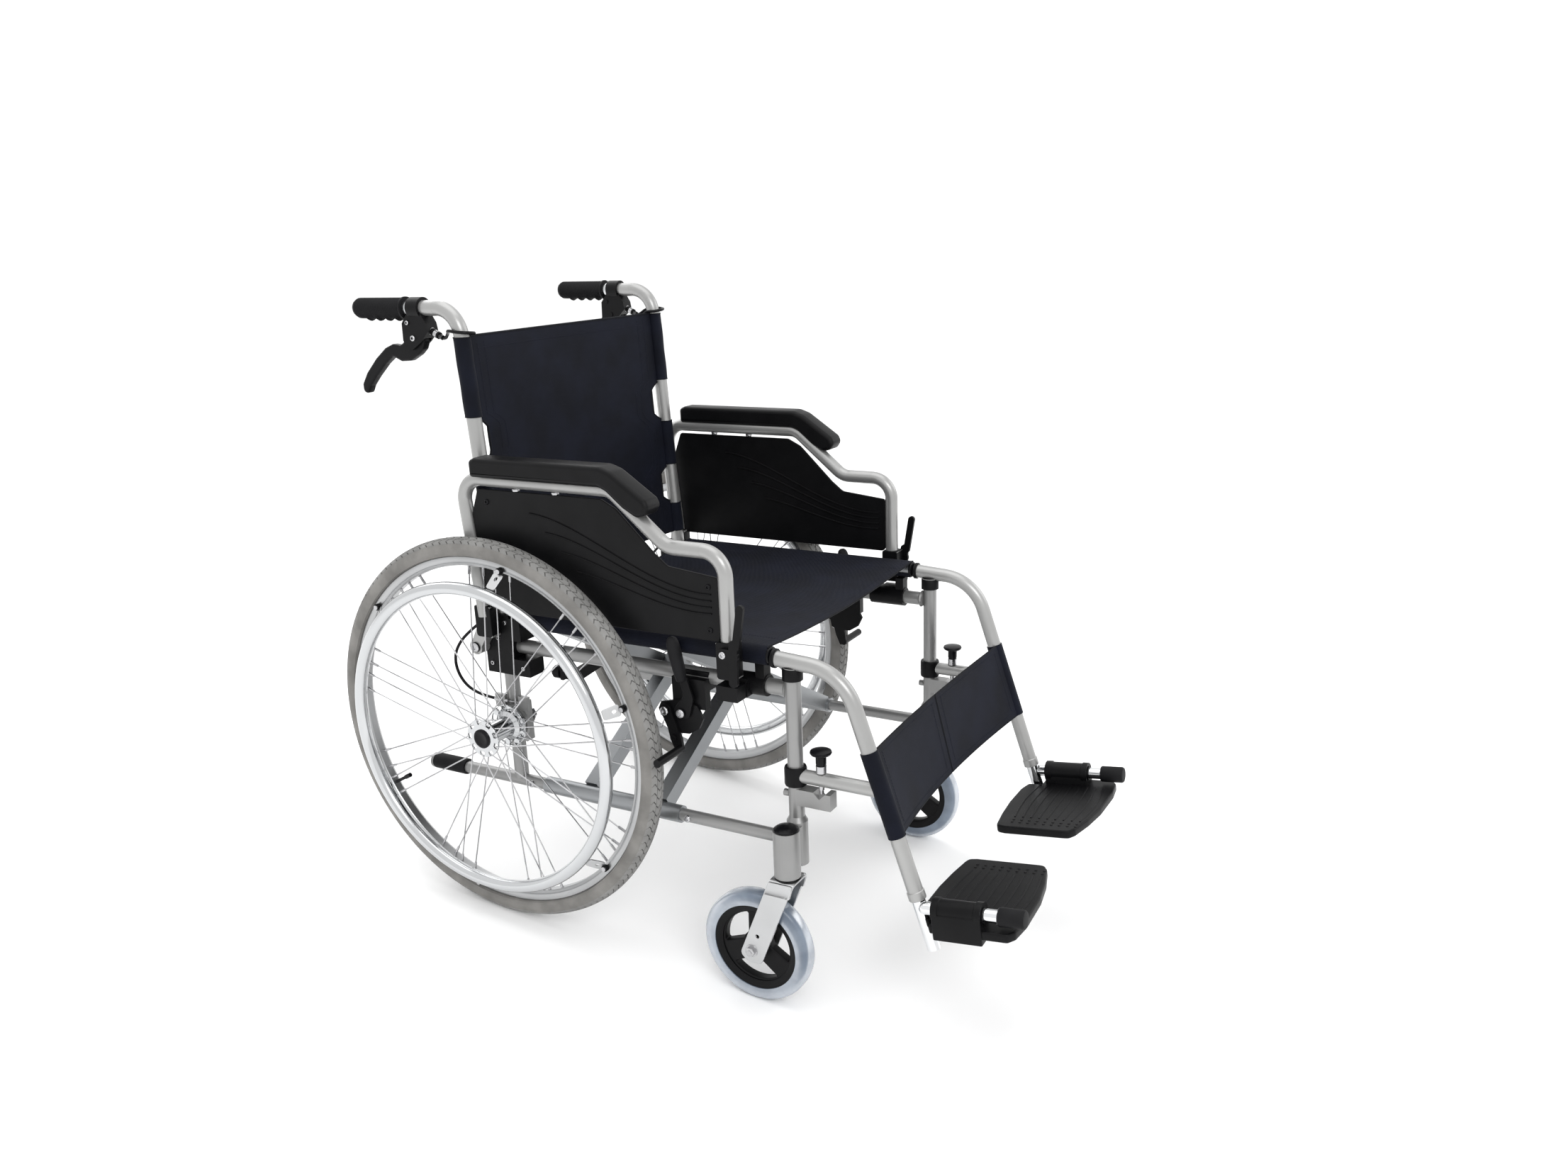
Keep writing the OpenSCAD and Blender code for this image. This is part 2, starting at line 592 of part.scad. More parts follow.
// ---------------------------------------------------------------- assembly
side_frame(-1);  // side_frame_r
side_frame(1);  // side_frame_l
rear_bracket(-1);  // rear_bracket_r
rear_bracket(1);  // rear_bracket_l
back_cane(-1);  // back_cane_r
back_cane(1);  // back_cane_l
push_grip(-1);  // push_grip_r
push_grip(1);  // push_grip_l
lever_mount(-1);  // lever_mount_r
lever_mount(1);  // lever_mount_l
brake_cable(-1);  // brake_cable_r
brake_cable(1);  // brake_cable_l
rail_fittings(-1);  // rail_fittings_r
rail_fittings(1);  // rail_fittings_l
tyre(-1);  // tyre_r
tyre(1);  // tyre_l
rim(-1);  // rim_r
rim(1);  // rim_l
hub(-1);  // hub_r
hub(1);  // hub_l
handrim(-1);  // handrim_r
handrim(1);  // handrim_l
caster_fork(-1);  // caster_fork_r
caster_fork(1);  // caster_fork_l
caster_core(-1);  // caster_core_r
caster_core(1);  // caster_core_l
caster_tyre(-1);  // caster_tyre_r
caster_tyre(1);  // caster_tyre_l
brace_a();
brace_b();
fold_link(-1);  // fold_link_r
fold_link(1);  // fold_link_l
seat_sling();
back_sling();
arm_tube(-1);  // arm_tube_r
arm_tube(1);  // arm_tube_l
arm_pad(-1);  // arm_pad_r
arm_pad(1);  // arm_pad_l
arm_skirt(-1);  // arm_skirt_r
arm_skirt(1);  // arm_skirt_l
arm_lever(-1);  // arm_lever_r
arm_lever(1);  // arm_lever_l
hanger(-1);  // hanger_r
hanger(1);  // hanger_l
hanger_knob(-1);  // hanger_knob_r
hanger_knob(1);  // hanger_knob_l
calf_strap(-1);  // calf_strap_r
calf_strap(1);  // calf_strap_l
foot_tube(-1);  // foot_tube_r
foot_tube(1);  // foot_tube_l
plate_bush(-1);  // plate_bush_r
plate_bush(1);  // plate_bush_l
footplate(-1);  // footplate_r
footplate(1);  // footplate_l
lock_lever(-1);  // lock_lever_r
lock_lever(1);  // lock_lever_l
lock_shoe(-1);  // lock_shoe_r
lock_shoe(1);  // lock_shoe_l
brake_lever(-1);  // brake_lever_r
brake_lever(1);  // brake_lever_l
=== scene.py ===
"""Looks of the folding wheelchair: fabric, tyres, spokes, pads, grips, finishes, light and camera.

Everything is drawn in the chair's own level frame, in millimetres (X to the occupant's left,
the chair faces -Y, the rear axle at Y = 0 and Z = AXLE), and then tipped back with the frame.
"""
import math
from functools import partial

import bpy
import numpy as np
from mathutils import Matrix, Vector


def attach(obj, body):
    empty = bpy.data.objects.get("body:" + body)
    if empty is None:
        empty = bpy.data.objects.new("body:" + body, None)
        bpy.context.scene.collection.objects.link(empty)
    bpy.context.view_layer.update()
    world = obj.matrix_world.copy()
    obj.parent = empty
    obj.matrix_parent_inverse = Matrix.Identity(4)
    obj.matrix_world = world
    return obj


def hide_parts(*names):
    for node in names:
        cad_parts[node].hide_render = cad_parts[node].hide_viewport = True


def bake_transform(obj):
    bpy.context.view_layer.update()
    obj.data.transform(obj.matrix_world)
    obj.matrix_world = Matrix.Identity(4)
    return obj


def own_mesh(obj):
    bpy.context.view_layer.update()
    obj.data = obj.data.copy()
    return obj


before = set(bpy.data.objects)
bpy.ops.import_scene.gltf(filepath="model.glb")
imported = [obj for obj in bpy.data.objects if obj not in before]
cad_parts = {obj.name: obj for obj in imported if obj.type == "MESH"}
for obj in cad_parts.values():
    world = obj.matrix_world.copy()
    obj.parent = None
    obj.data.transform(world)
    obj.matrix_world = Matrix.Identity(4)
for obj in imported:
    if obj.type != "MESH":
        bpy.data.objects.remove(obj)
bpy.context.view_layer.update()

# -------------------- driving sizes, mm
AXLE = 304.0
SHIFT_Y = 265.3
TILT = math.radians(5.45)
CANE_X = 241.0
SEAT_Z = 470.4
SEAT_R = 12.0
HANG_X = 243.0
TUBE_R = 11.1
HANDLE_Z = 926.0
RAIL_Z = 201.0
POST = (241, -488.5, 0)
SEAT_SAG = 14.0
BACK_SAG = 13.0
CALF_SAG = 26.0
MM = 0.001
WHEEL_X = 299.0
HUB = (0, 0, AXLE)
WHEEL_CENTRE = (WHEEL_X, 0, AXLE)
SIDES = (("r", -1), ("l", 1))
LEAN = np.array([-0.3258, -0.9454])
FOOT_ORIGIN = np.array([247.0, -684.0, 143.5])
FOOT_TOE = math.radians(7)
SPOKES = 36
CASTER_X = 280.0
CASTER_Y = -441.0
HEAD_Y = -492.0
CASTER_Z = AXLE - (AXLE - 86 - CASTER_Y * math.sin(TILT)) / math.cos(TILT)


def to_world(points):
    """Points of the level frame in mm, tipped back with the chair, in metres."""
    p = np.asarray(points, float).reshape(-1, 3)
    z = p[:, 2] - AXLE
    y = p[:, 1] * math.cos(TILT) + z * math.sin(TILT) + SHIFT_Y
    up = -p[:, 1] * math.sin(TILT) + z * math.cos(TILT) + AXLE
    return np.stack([p[:, 0], y, up], 1) / 1000


HUB_Y, HUB_Z = to_world([HUB])[0][1:]


def cane_y(z):
    return 11.4 + (z - 472) * 25.2 / 454


def down(s):
    """Side-view point (Y, Z) at s mm down the foot tube from the hanger's lower end."""
    return np.array([-672.0, 152.0]) + LEAN * s


# -------------------- materials
class Nodes:
    """A small wrapper that builds a Principled material."""

    def __init__(self, name, color, rough, metal=0.0, **extra):
        self.mat = bpy.data.materials.new(name)
        self.mat.use_nodes = True
        self.tree = self.mat.node_tree
        self.bsdf = self.tree.nodes["Principled BSDF"]
        self.bsdf.inputs["Base Color"].default_value = (*color, 1)
        self.bsdf.inputs["Roughness"].default_value = rough
        self.bsdf.inputs["Metallic"].default_value = metal
        for key, value in extra.items():
            self.bsdf.inputs[key.replace("_", " ")].default_value = value
        self.coords = self.tree.nodes.new("ShaderNodeTexCoord")

    def new(self, kind, **inputs):
        node = self.tree.nodes.new(kind)
        for key, value in inputs.items():
            node.inputs[key.replace("_", " ")].default_value = value
        return node

    def link(self, a, out, b, into):
        self.tree.links.new(a.outputs[out], b.inputs[into])

    def noise(self, scale, detail=3.0, stretch=(1, 1, 1)):
        mapping = self.new("ShaderNodeMapping")
        mapping.inputs["Scale"].default_value = stretch
        self.link(self.coords, "Object", mapping, "Vector")
        node = self.new("ShaderNodeTexNoise", Scale=scale, Detail=detail)
        self.link(mapping, "Vector", node, "Vector")
        return node

    def vary_color(self, source, out, dark, light, low=0.35, high=0.65):
        ramp = self.new("ShaderNodeValToRGB")
        ramp.color_ramp.elements[0].position = low
        ramp.color_ramp.elements[0].color = (*dark, 1)
        ramp.color_ramp.elements[1].position = high
        ramp.color_ramp.elements[1].color = (*light, 1)
        self.link(source, out, ramp, "Fac")
        self.link(ramp, "Color", self.bsdf, "Base Color")

    def vary_rough(self, source, out, low, high):
        span = self.new("ShaderNodeMapRange")
        span.inputs["To Min"].default_value = low
        span.inputs["To Max"].default_value = high
        self.link(source, out, span, "Value")
        self.link(span, "Result", self.bsdf, "Roughness")

    def bump(self, source, out, strength, distance):
        node = self.new("ShaderNodeBump", Strength=strength, Distance=distance)
        self.link(source, out, node, "Height")
        self.link(node, "Normal", self.bsdf, "Normal")


def scaled(color, k):
    return tuple(c * k for c in color)


def paint(name, color, rough=0.34, metal=0.6):
    """Metallic paint: a fine flake, a little orange peel and slow tone changes."""
    m = Nodes(name, color, rough, metal, Coat_Weight=0.25, Coat_Roughness=0.18)
    m.vary_color(m.noise(9, 4), "Fac", scaled(color, 0.93), scaled(color, 1.05))
    flake = m.noise(2600, 2)
    m.vary_rough(flake, "Fac", rough - 0.07, rough + 0.07)
    m.bump(m.noise(420, 2), "Fac", 0.04, 0.0004)
    return m.mat


def brushed(name, color, rough, stretch=(30, 1, 30), metal=1.0):
    """Drawn or turned metal, with fine lines across the stretch."""
    m = Nodes(name, color, rough, metal)
    lines = m.noise(260, 3, stretch)
    m.vary_rough(lines, "Fac", rough - 0.08, rough + 0.1)
    m.vary_color(m.noise(14, 3), "Fac", scaled(color, 0.94), scaled(color, 1.02))
    m.bump(lines, "Fac", 0.05, 0.0003)
    return m.mat


def polished(name, color, rough):
    m = Nodes(name, color, rough, 1.0)
    m.vary_rough(m.noise(60, 4), "Fac", rough * 0.6, rough * 1.5)
    m.bump(m.noise(900, 2), "Fac", 0.015, 0.0002)
    return m.mat


def moulded(name, color, rough=0.45, grain=700, strength=0.18):
    """Moulded black plastic with a fine spark-eroded grain."""
    m = Nodes(name, color, rough, Specular_IOR_Level=0.14)
    grain_node = m.noise(grain, 3)
    m.vary_rough(m.noise(22, 4), "Fac", rough - 0.07, rough + 0.08)
    m.vary_color(m.noise(30, 3), "Fac", scaled(color, 0.85), scaled(color, 1.2))
    m.bump(grain_node, "Fac", strength, 0.0004)
    return m.mat


def rubber(name, color, rough=0.62):
    m = Nodes(name, color, rough, Specular_IOR_Level=0.16)
    m.vary_color(m.noise(26, 5), "Fac", scaled(color, 0.8), scaled(color, 1.15))
    m.bump(m.noise(1300, 3), "Fac", 0.2, 0.0004)
    return m.mat


def nylon(name, color):
    """Coated nylon: crossed threads at 0.8 mm, slow mottling and a soft sheen."""
    m = Nodes(name, color, 0.75, Sheen_Weight=0.03, Sheen_Roughness=0.4,
              Specular_IOR_Level=0.14)
    threads = []
    for direction in ("X", "Z"):
        wave = m.new("ShaderNodeTexWave", Scale=400, Distortion=0.6, Detail=2)
        wave.bands_direction = direction
        m.link(m.coords, "Object", wave, "Vector")
        threads.append(wave)
    weave = m.new("ShaderNodeMath")
    weave.operation = "MAXIMUM"
    m.link(threads[0], "Fac", weave, 0)
    m.link(threads[1], "Fac", weave, 1)
    m.bump(weave, "Value", 0.35, 0.0005)
    m.vary_color(m.noise(18, 5), "Fac", scaled(color, 0.75), scaled(color, 1.35))
    return m.mat


SILVER = paint("silver_paint", (0.27, 0.27, 0.268), 0.38)
LIGHT_TUBE = paint("light_tube_paint", (0.35, 0.35, 0.345), 0.34)
EXTRUSION = brushed("drawn_bar", (0.31, 0.32, 0.33), 0.4, (1, 30, 30))
ALLOY = brushed("cast_alloy", (0.54, 0.545, 0.55), 0.32)
RIM_ALLOY = brushed("rim_alloy", (0.42, 0.425, 0.43), 0.3, (30, 1, 1))
POLISHED = polished("polished_alloy", (0.55, 0.56, 0.57), 0.16)
STEEL = polished("zinc_steel", (0.48, 0.48, 0.49), 0.26)
CHROME = polished("chrome_plate", (0.74, 0.75, 0.76), 0.07)
NYLON = nylon("black_nylon", (0.0035, 0.0045, 0.010))
WEBBING = nylon("binding_tape", (0.003, 0.0035, 0.006))
STITCH = moulded("stitch_thread", (0.012, 0.013, 0.022), 0.6, 1500)
BLACK = moulded("black_plastic", (0.0035, 0.0035, 0.004), 0.42)
GLOSS_BLACK = moulded("gloss_black", (0.005, 0.005, 0.006), 0.25, 300, 0.05)
PAD_SKIN = moulded("pad_skin", (0.004, 0.004, 0.0045), 0.4, 1100, 0.3)
GRIP_RUBBER = rubber("grip_rubber", (0.007, 0.007, 0.008))
TREAD = rubber("tread_rubber", (0.225, 0.223, 0.217), 0.75)
# painted shade: a much darker grey than the sidewall, standing for the shadow in the grooves between
# the tread blocks
GROOVE_SHADE = rubber("groove_painted_shade", (0.085, 0.083, 0.08), 0.8)
SIDEWALL = rubber("sidewall_rubber", (0.20, 0.194, 0.184), 0.62)
CASTER_PU = Nodes("caster_pu", (0.20, 0.25, 0.32), 0.24, Transmission_Weight=0.35, IOR=1.45)
CASTER_PU.vary_color(CASTER_PU.noise(24, 4), "Fac", (0.16, 0.20, 0.26), (0.25, 0.30, 0.37))
CASTER_PU = CASTER_PU.mat

CAD_FINISH = {
    "side_frame": SILVER, "rear_bracket": BLACK, "back_cane": LIGHT_TUBE, "lever_mount": BLACK,
    "rail_fittings": BLACK, "fold_link": BLACK, "arm_tube": LIGHT_TUBE, "arm_lever": BLACK,
    "hanger": LIGHT_TUBE, "foot_tube": CHROME, "plate_bush": BLACK, "lock_shoe": BLACK,
    "brace_a": EXTRUSION, "brace_b": EXTRUSION, "hub": POLISHED,
}
for node_name, node_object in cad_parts.items():
    stem = node_name if node_name in CAD_FINISH else node_name[:-2]
    finish = CAD_FINISH.get(stem)
    if finish:
        node_object.data.materials.clear()
        node_object.data.materials.append(finish)


# -------------------- mesh helpers
def build(name, verts, faces, mat, body, side=1, slot=None, smooth=40, ride=True):
    """An object from level-frame points in mm, mirrored for side -1, riding on a body."""
    v = np.asarray(verts, float).reshape(-1, 3).copy()
    v[:, 0] *= side
    mesh = bpy.data.meshes.new(name)
    order = faces if side > 0 else [tuple(reversed(f)) for f in faces]
    order = [tuple(int(i) for i in f) for f in order]
    mesh.from_pydata([tuple(p) for p in to_world(v)], [], order)
    mesh.validate()
    mesh.update()
    obj = bpy.data.objects.new(name, mesh)
    bpy.context.scene.collection.objects.link(obj)
    mesh.materials.append(mat)
    shade(obj, smooth)
    if ride:
        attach(obj, body)
    return obj


USUAL_SLOT = {mat.name: slot for slot, mats in {
    "grey_tyre": (SIDEWALL, TREAD), "aluminium": (RIM_ALLOY, ALLOY, STEEL), "polished": (POLISHED,),
    "black_plastic": (GLOSS_BLACK, BLACK), "caster_pu": (CASTER_PU,), "black_pad": (PAD_SKIN,),
    "black_rubber": (GRIP_RUBBER,), "frame_silver": (SILVER,), "bright_tube": (LIGHT_TUBE,),
    "fabric": (NYLON, WEBBING, STITCH),
}.items() for mat in mats}


def piece(tag, side, stem, name, mesh, mat, on=None, slot=None, smooth=40, replaces=None):
    """A piece of one half of the chair, riding on that half's body and standing for its CAD node."""
    body = "%s_%s" % (on or stem, tag)
    obj = build(name + "_" + tag, *mesh, mat, body, side, slot or USUAL_SLOT[mat.name], smooth)
    if replaces:
        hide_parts(replaces + "_" + tag)
    return obj


def shade(obj, angle):
    """Smooth shading that keeps edges sharper than the angle."""
    mesh = obj.data
    mesh.polygons.foreach_set("use_smooth", [True] * len(mesh.polygons))
    mesh.set_sharp_from_angle(angle=math.radians(angle))


def join(parts):
    """Several (verts, faces) as one."""
    verts, faces, base = [], [], 0
    for v, f in parts:
        v = np.asarray(v, float).reshape(-1, 3)
        verts.append(v)
        faces += [tuple(i + base for i in face) for face in f]
        base += len(v)
    return np.vstack(verts), faces


def rounded(points, radius, steps=8, closed=False):
    """A polyline with each corner replaced by an arc; radius is one number or one a corner."""
    p = [np.asarray(q, float) for q in points]
    n = len(p)
    out = []
    for i in range(n):
        r = radius[i] if hasattr(radius, "__len__") else radius
        if r <= 0 or not closed and i in (0, n - 1):
            out.append(p[i])
            continue
        a, b, c = p[i - 1], p[i], p[(i + 1) % n]
        u, w = (a - b) / np.linalg.norm(a - b), (c - b) / np.linalg.norm(c - b)
        angle = math.acos(max(-1, min(1, float(u @ w))))
        if angle > math.radians(178.5):
            out.append(b)
            continue
        room = 0.48 * min(np.linalg.norm(a - b), np.linalg.norm(c - b))
        reach = min(r / math.tan(angle / 2), room)
        rr = reach * math.tan(angle / 2)
        mid = (u + w) / np.linalg.norm(u + w)
        centre = b + mid * rr / math.sin(angle / 2)
        start, end = b + u * reach - centre, b + w * reach - centre
        total = math.acos(max(-1, min(1, float(start @ end) / rr ** 2)))
        for k in range(steps + 1):
            t = k / steps
            arc = math.sin((1 - t) * total) * start + math.sin(t * total) * end
            out.append(centre + arc / math.sin(total))
    return np.array(out)


def corners(outline, radii, steps=5):
    """A closed flat outline with its corners rounded."""
    return rounded([(*p, 0) for p in outline], radii, steps, True)[:, :2]


def smooth_path(points, per=6):
    """A Catmull-Rom curve through the points."""
    p = np.asarray(points, float)
    p = np.vstack([2 * p[0] - p[1], p, 2 * p[-1] - p[-2]])
    out = []
    for i in range(1, len(p) - 2):
        for k in range(per):
            t = k / per
            out.append(0.5 * (2 * p[i] + (p[i + 1] - p[i - 1]) * t
                              + (2 * p[i - 1] - 5 * p[i] + 4 * p[i + 1] - p[i + 2]) * t ** 2
                              + (3 * p[i] - p[i - 1] - 3 * p[i + 1] + p[i + 2]) * t ** 3))
    out.append(p[-2])
    return np.array(out)


def frames(path, closed=False):
    """Two normals at each point, carried along a path without twist."""
    tang = np.roll(path, -1, 0) - np.roll(path, 1, 0)
    if not closed:
        tang[0], tang[-1] = path[1] - path[0], path[-1] - path[-2]
    tang /= np.linalg.norm(tang, axis=1)[:, None]
    ref = np.array([1.0, 0, 0]) if abs(tang[0][0]) < 0.9 else np.array([0, 0, 1.0])
    first = np.cross(tang[0], ref)
    normals = [first / np.linalg.norm(first)]
    for t in tang[1:]:
        n = normals[-1] - t * (normals[-1] @ t)
        normals.append(n / np.linalg.norm(n))
    normals = np.array(normals)
    return normals, np.cross(tang, normals)


def sweep(path, section, closed=False):
    """A closed section, as offsets or a function of the index, swept along a path."""
    path = np.asarray(path, float)
    n, b = frames(path, closed)
    verts = []
    for i, p in enumerate(path):
        s = np.asarray(section(i) if callable(section) else section, float)
        count = len(s)
        verts += [p + u * n[i] + w * b[i] for u, w in s]
    m = len(path)
    faces = []
    for i in range(m if closed else m - 1):
        j = (i + 1) % m
        for k in range(count):
            l = (k + 1) % count
            faces.append((i * count + k, i * count + l, j * count + l, j * count + k))
    if not closed:
        faces.append(tuple(reversed(range(count))))
        faces.append(tuple((m - 1) * count + k for k in range(count)))
    return np.array(verts), faces


def oval(across, up, n, centre=(0, 0)):
    turns = [2 * math.pi * k / n for k in range(n)]
    return [(centre[0] + across * math.cos(t), centre[1] + up * math.sin(t)) for t in turns]


def circle(r, n=16, centre=(0, 0)):
    return oval(r, r, n, centre)


def rod(a, b, r, n=16):
    return sweep([a, b], circle(r, n))


def lathe(profile, origin, axis=(1, 0, 0), n=64, closed=False):
    """A profile of (along, radius) turned about an axis through origin."""
    axis = np.asarray(axis, float) / np.linalg.norm(axis)
    ref = np.array([0, 0, 1.0]) if abs(axis[2]) < 0.9 else np.array([0, 1.0, 0])
    u = np.cross(axis, ref)
    u /= np.linalg.norm(u)
    w = np.cross(axis, u)
    verts = []
    for k in range(n):
        a = 2 * math.pi * k / n
        d = u * math.cos(a) + w * math.sin(a)
        verts += [np.asarray(origin, float) + axis * s + d * max(r, 0.02) for s, r in profile]
    m = len(profile)
    faces = []
    for k in range(n):
        l = (k + 1) % n
        for i in range(m if closed else m - 1):
            j = (i + 1) % m
            faces.append((k * m + i, k * m + j, l * m + j, l * m + i))
    if not closed:
        faces.append(tuple(k * m for k in range(n)))
        faces.append(tuple(k * m + m - 1 for k in reversed(range(n))))
    return np.array(verts), faces


def plate(outline, thick, holes=(), bevel=0.6, steps=2):
    """A flat plate in local (u, v), between w = 0 and thick, with bevelled edges."""
    data = bpy.data.curves.new("plate", "CURVE")
    data.dimensions = "2D"
    data.fill_mode = "BOTH"
    data.extrude = thick / 2 - bevel
    data.bevel_depth = bevel
    data.bevel_resolution = steps
    data.offset = -bevel
    for loop in [outline, *holes]:
        spline = data.splines.new("POLY")
        spline.points.add(len(loop) - 1)
        for point, (u, v) in zip(spline.points, loop):
            point.co = (u, v, 0, 1)
        spline.use_cyclic_u = True
    obj = bpy.data.objects.new("plate", data)
    bpy.context.scene.collection.objects.link(obj)
    mesh = obj.to_mesh()
    verts = np.array([v.co for v in mesh.vertices], float).reshape(-1, 3)
    verts[:, 2] += thick / 2
    faces = [tuple(p.vertices) for p in mesh.polygons]
    obj.to_mesh_clear()
    bpy.data.objects.remove(obj)
    bpy.data.curves.remove(data)
    return verts, faces


def side_plate(x0, outline, thick, **kw):
    """A plate whose outline is a side view (Y, Z), from X = x0 outward."""
    v, f = plate(outline, thick, **kw)
    return np.stack([v[:, 2] + x0, v[:, 0], v[:, 1]], 1), f


def hex_head(x0, x1, y, z, r):
    """A hexagon head or nut along X, with its corners chamfered."""
    loops = [(x0, r), (x1 - 0.8, r), (x1, r * 0.84)]
    verts = [(x, y + u, z + w) for x, radius in loops for u, w in circle(radius, 6)]
    faces = [(i + k, i + (k + 1) % 6, i + 6 + (k + 1) % 6, i + 6 + k) for i in (0, 6) for k in range(6)]
    return np.array(verts, float), faces + [tuple(range(5, -1, -1)), tuple(range(12, 18))]


def socket_head(x0, x1, y, z, r):
    """A button-head socket screw along X: a domed ring round a hexagon hole."""
    dx = x1 - x0
    profile = [(0, r), (0.45 * dx, r), (0.85 * dx, r * 0.86), (dx, r * 0.62), (dx, r * 0.45),
               (0.35 * dx, r * 0.42)]
    return lathe(profile, (x0, y, z), n=24)


# -------------------- rear wheels
CARCASS_R = 286.3
TREAD_PITCHES = 132
TREAD_ROWS = ((-13.6, -8.2, 0.0, -1), (-7.2, -0.5, 0.5, 1), (0.5, 7.2, 0.0, -1), (8.2, 13.6, 0.5, 1))


def tyre_parts():
    """Smooth carcass, and rows of interlocking zigzag blocks standing 1.8 mm proud of it."""
    carcass = []
    for k in range(25):
        a = math.radians(-118 + 236 * k / 24)
        carcass.append((17.1 * math.sin(a), CARCASS_R + 15.9 * math.cos(a)))
    carcass += [(11.5, 277.2), (-11.5, 277.2)]
    body = lathe(carcass, WHEEL_CENTRE, n=180, closed=True)
    blocks = []
    pitch = 2 * math.pi / TREAD_PITCHES

    def top(x):
        return CARCASS_R + 17.6 * math.cos(math.asin(min(abs(x) / 17.6, 0.96)))

    for i in range(TREAD_PITCHES):
        for x0, x1, phase, lean in TREAD_ROWS:
            mid = (x0 + x1) / 2
            a0 = (i + phase) * pitch
            w = 0.40 * pitch
            k = 0.16 * pitch * lean
            outline = [(x0, a0 - w + k), (mid, a0 - w - k), (x1, a0 - w + k),
                       (x1, a0 + w + k), (mid, a0 + w - k), (x0, a0 + w + k)]
            high = [(x, a, min(top(x), AXLE - 0.02)) for x, a in outline]
            low = [(x + (x - mid) * 0.06, a + (a - a0) * 0.05, top(x) - 2.6) for x, a in outline]
            verts = [(WHEEL_X + x, r * math.cos(a), AXLE + r * math.sin(a))
                     for x, a, r in low + high]
            faces = [(j, (j + 1) % 6, 6 + (j + 1) % 6, 6 + j) for j in range(6)]
            faces += [(6, 7, 10, 11), (7, 8, 9, 10)]
            blocks.append((verts, [tuple(reversed(f)) for f in faces]))
    return body, join(blocks)


RIM_PROFILE = [(-6, 262.2), (6, 262.2), (10.5, 265.2), (12.3, 268.5), (12.4, 275.4), (11.8, 276.9),
               (10.4, 277), (9.6, 276), (9.2, 270.5), (-9.2, 270.5), (-9.6, 276), (-10.4, 277),
               (-11.8, 276.9), (-12.4, 275.4), (-12.3, 268.5), (-10.5, 265.2)]


def flange(x0, x1, r_out, r_in):
    """A hub flange pierced with nine round holes."""
    holes = [circle(4.6, 16, centre) for centre in circle((r_out + r_in) / 2, 9)]
    bore = circle(r_in * 0.8, 40)
    v, f = side_plate(x0, circle(r_out, 72), x1 - x0, holes=[bore, *holes], bevel=0.7)
    return v + HUB, f


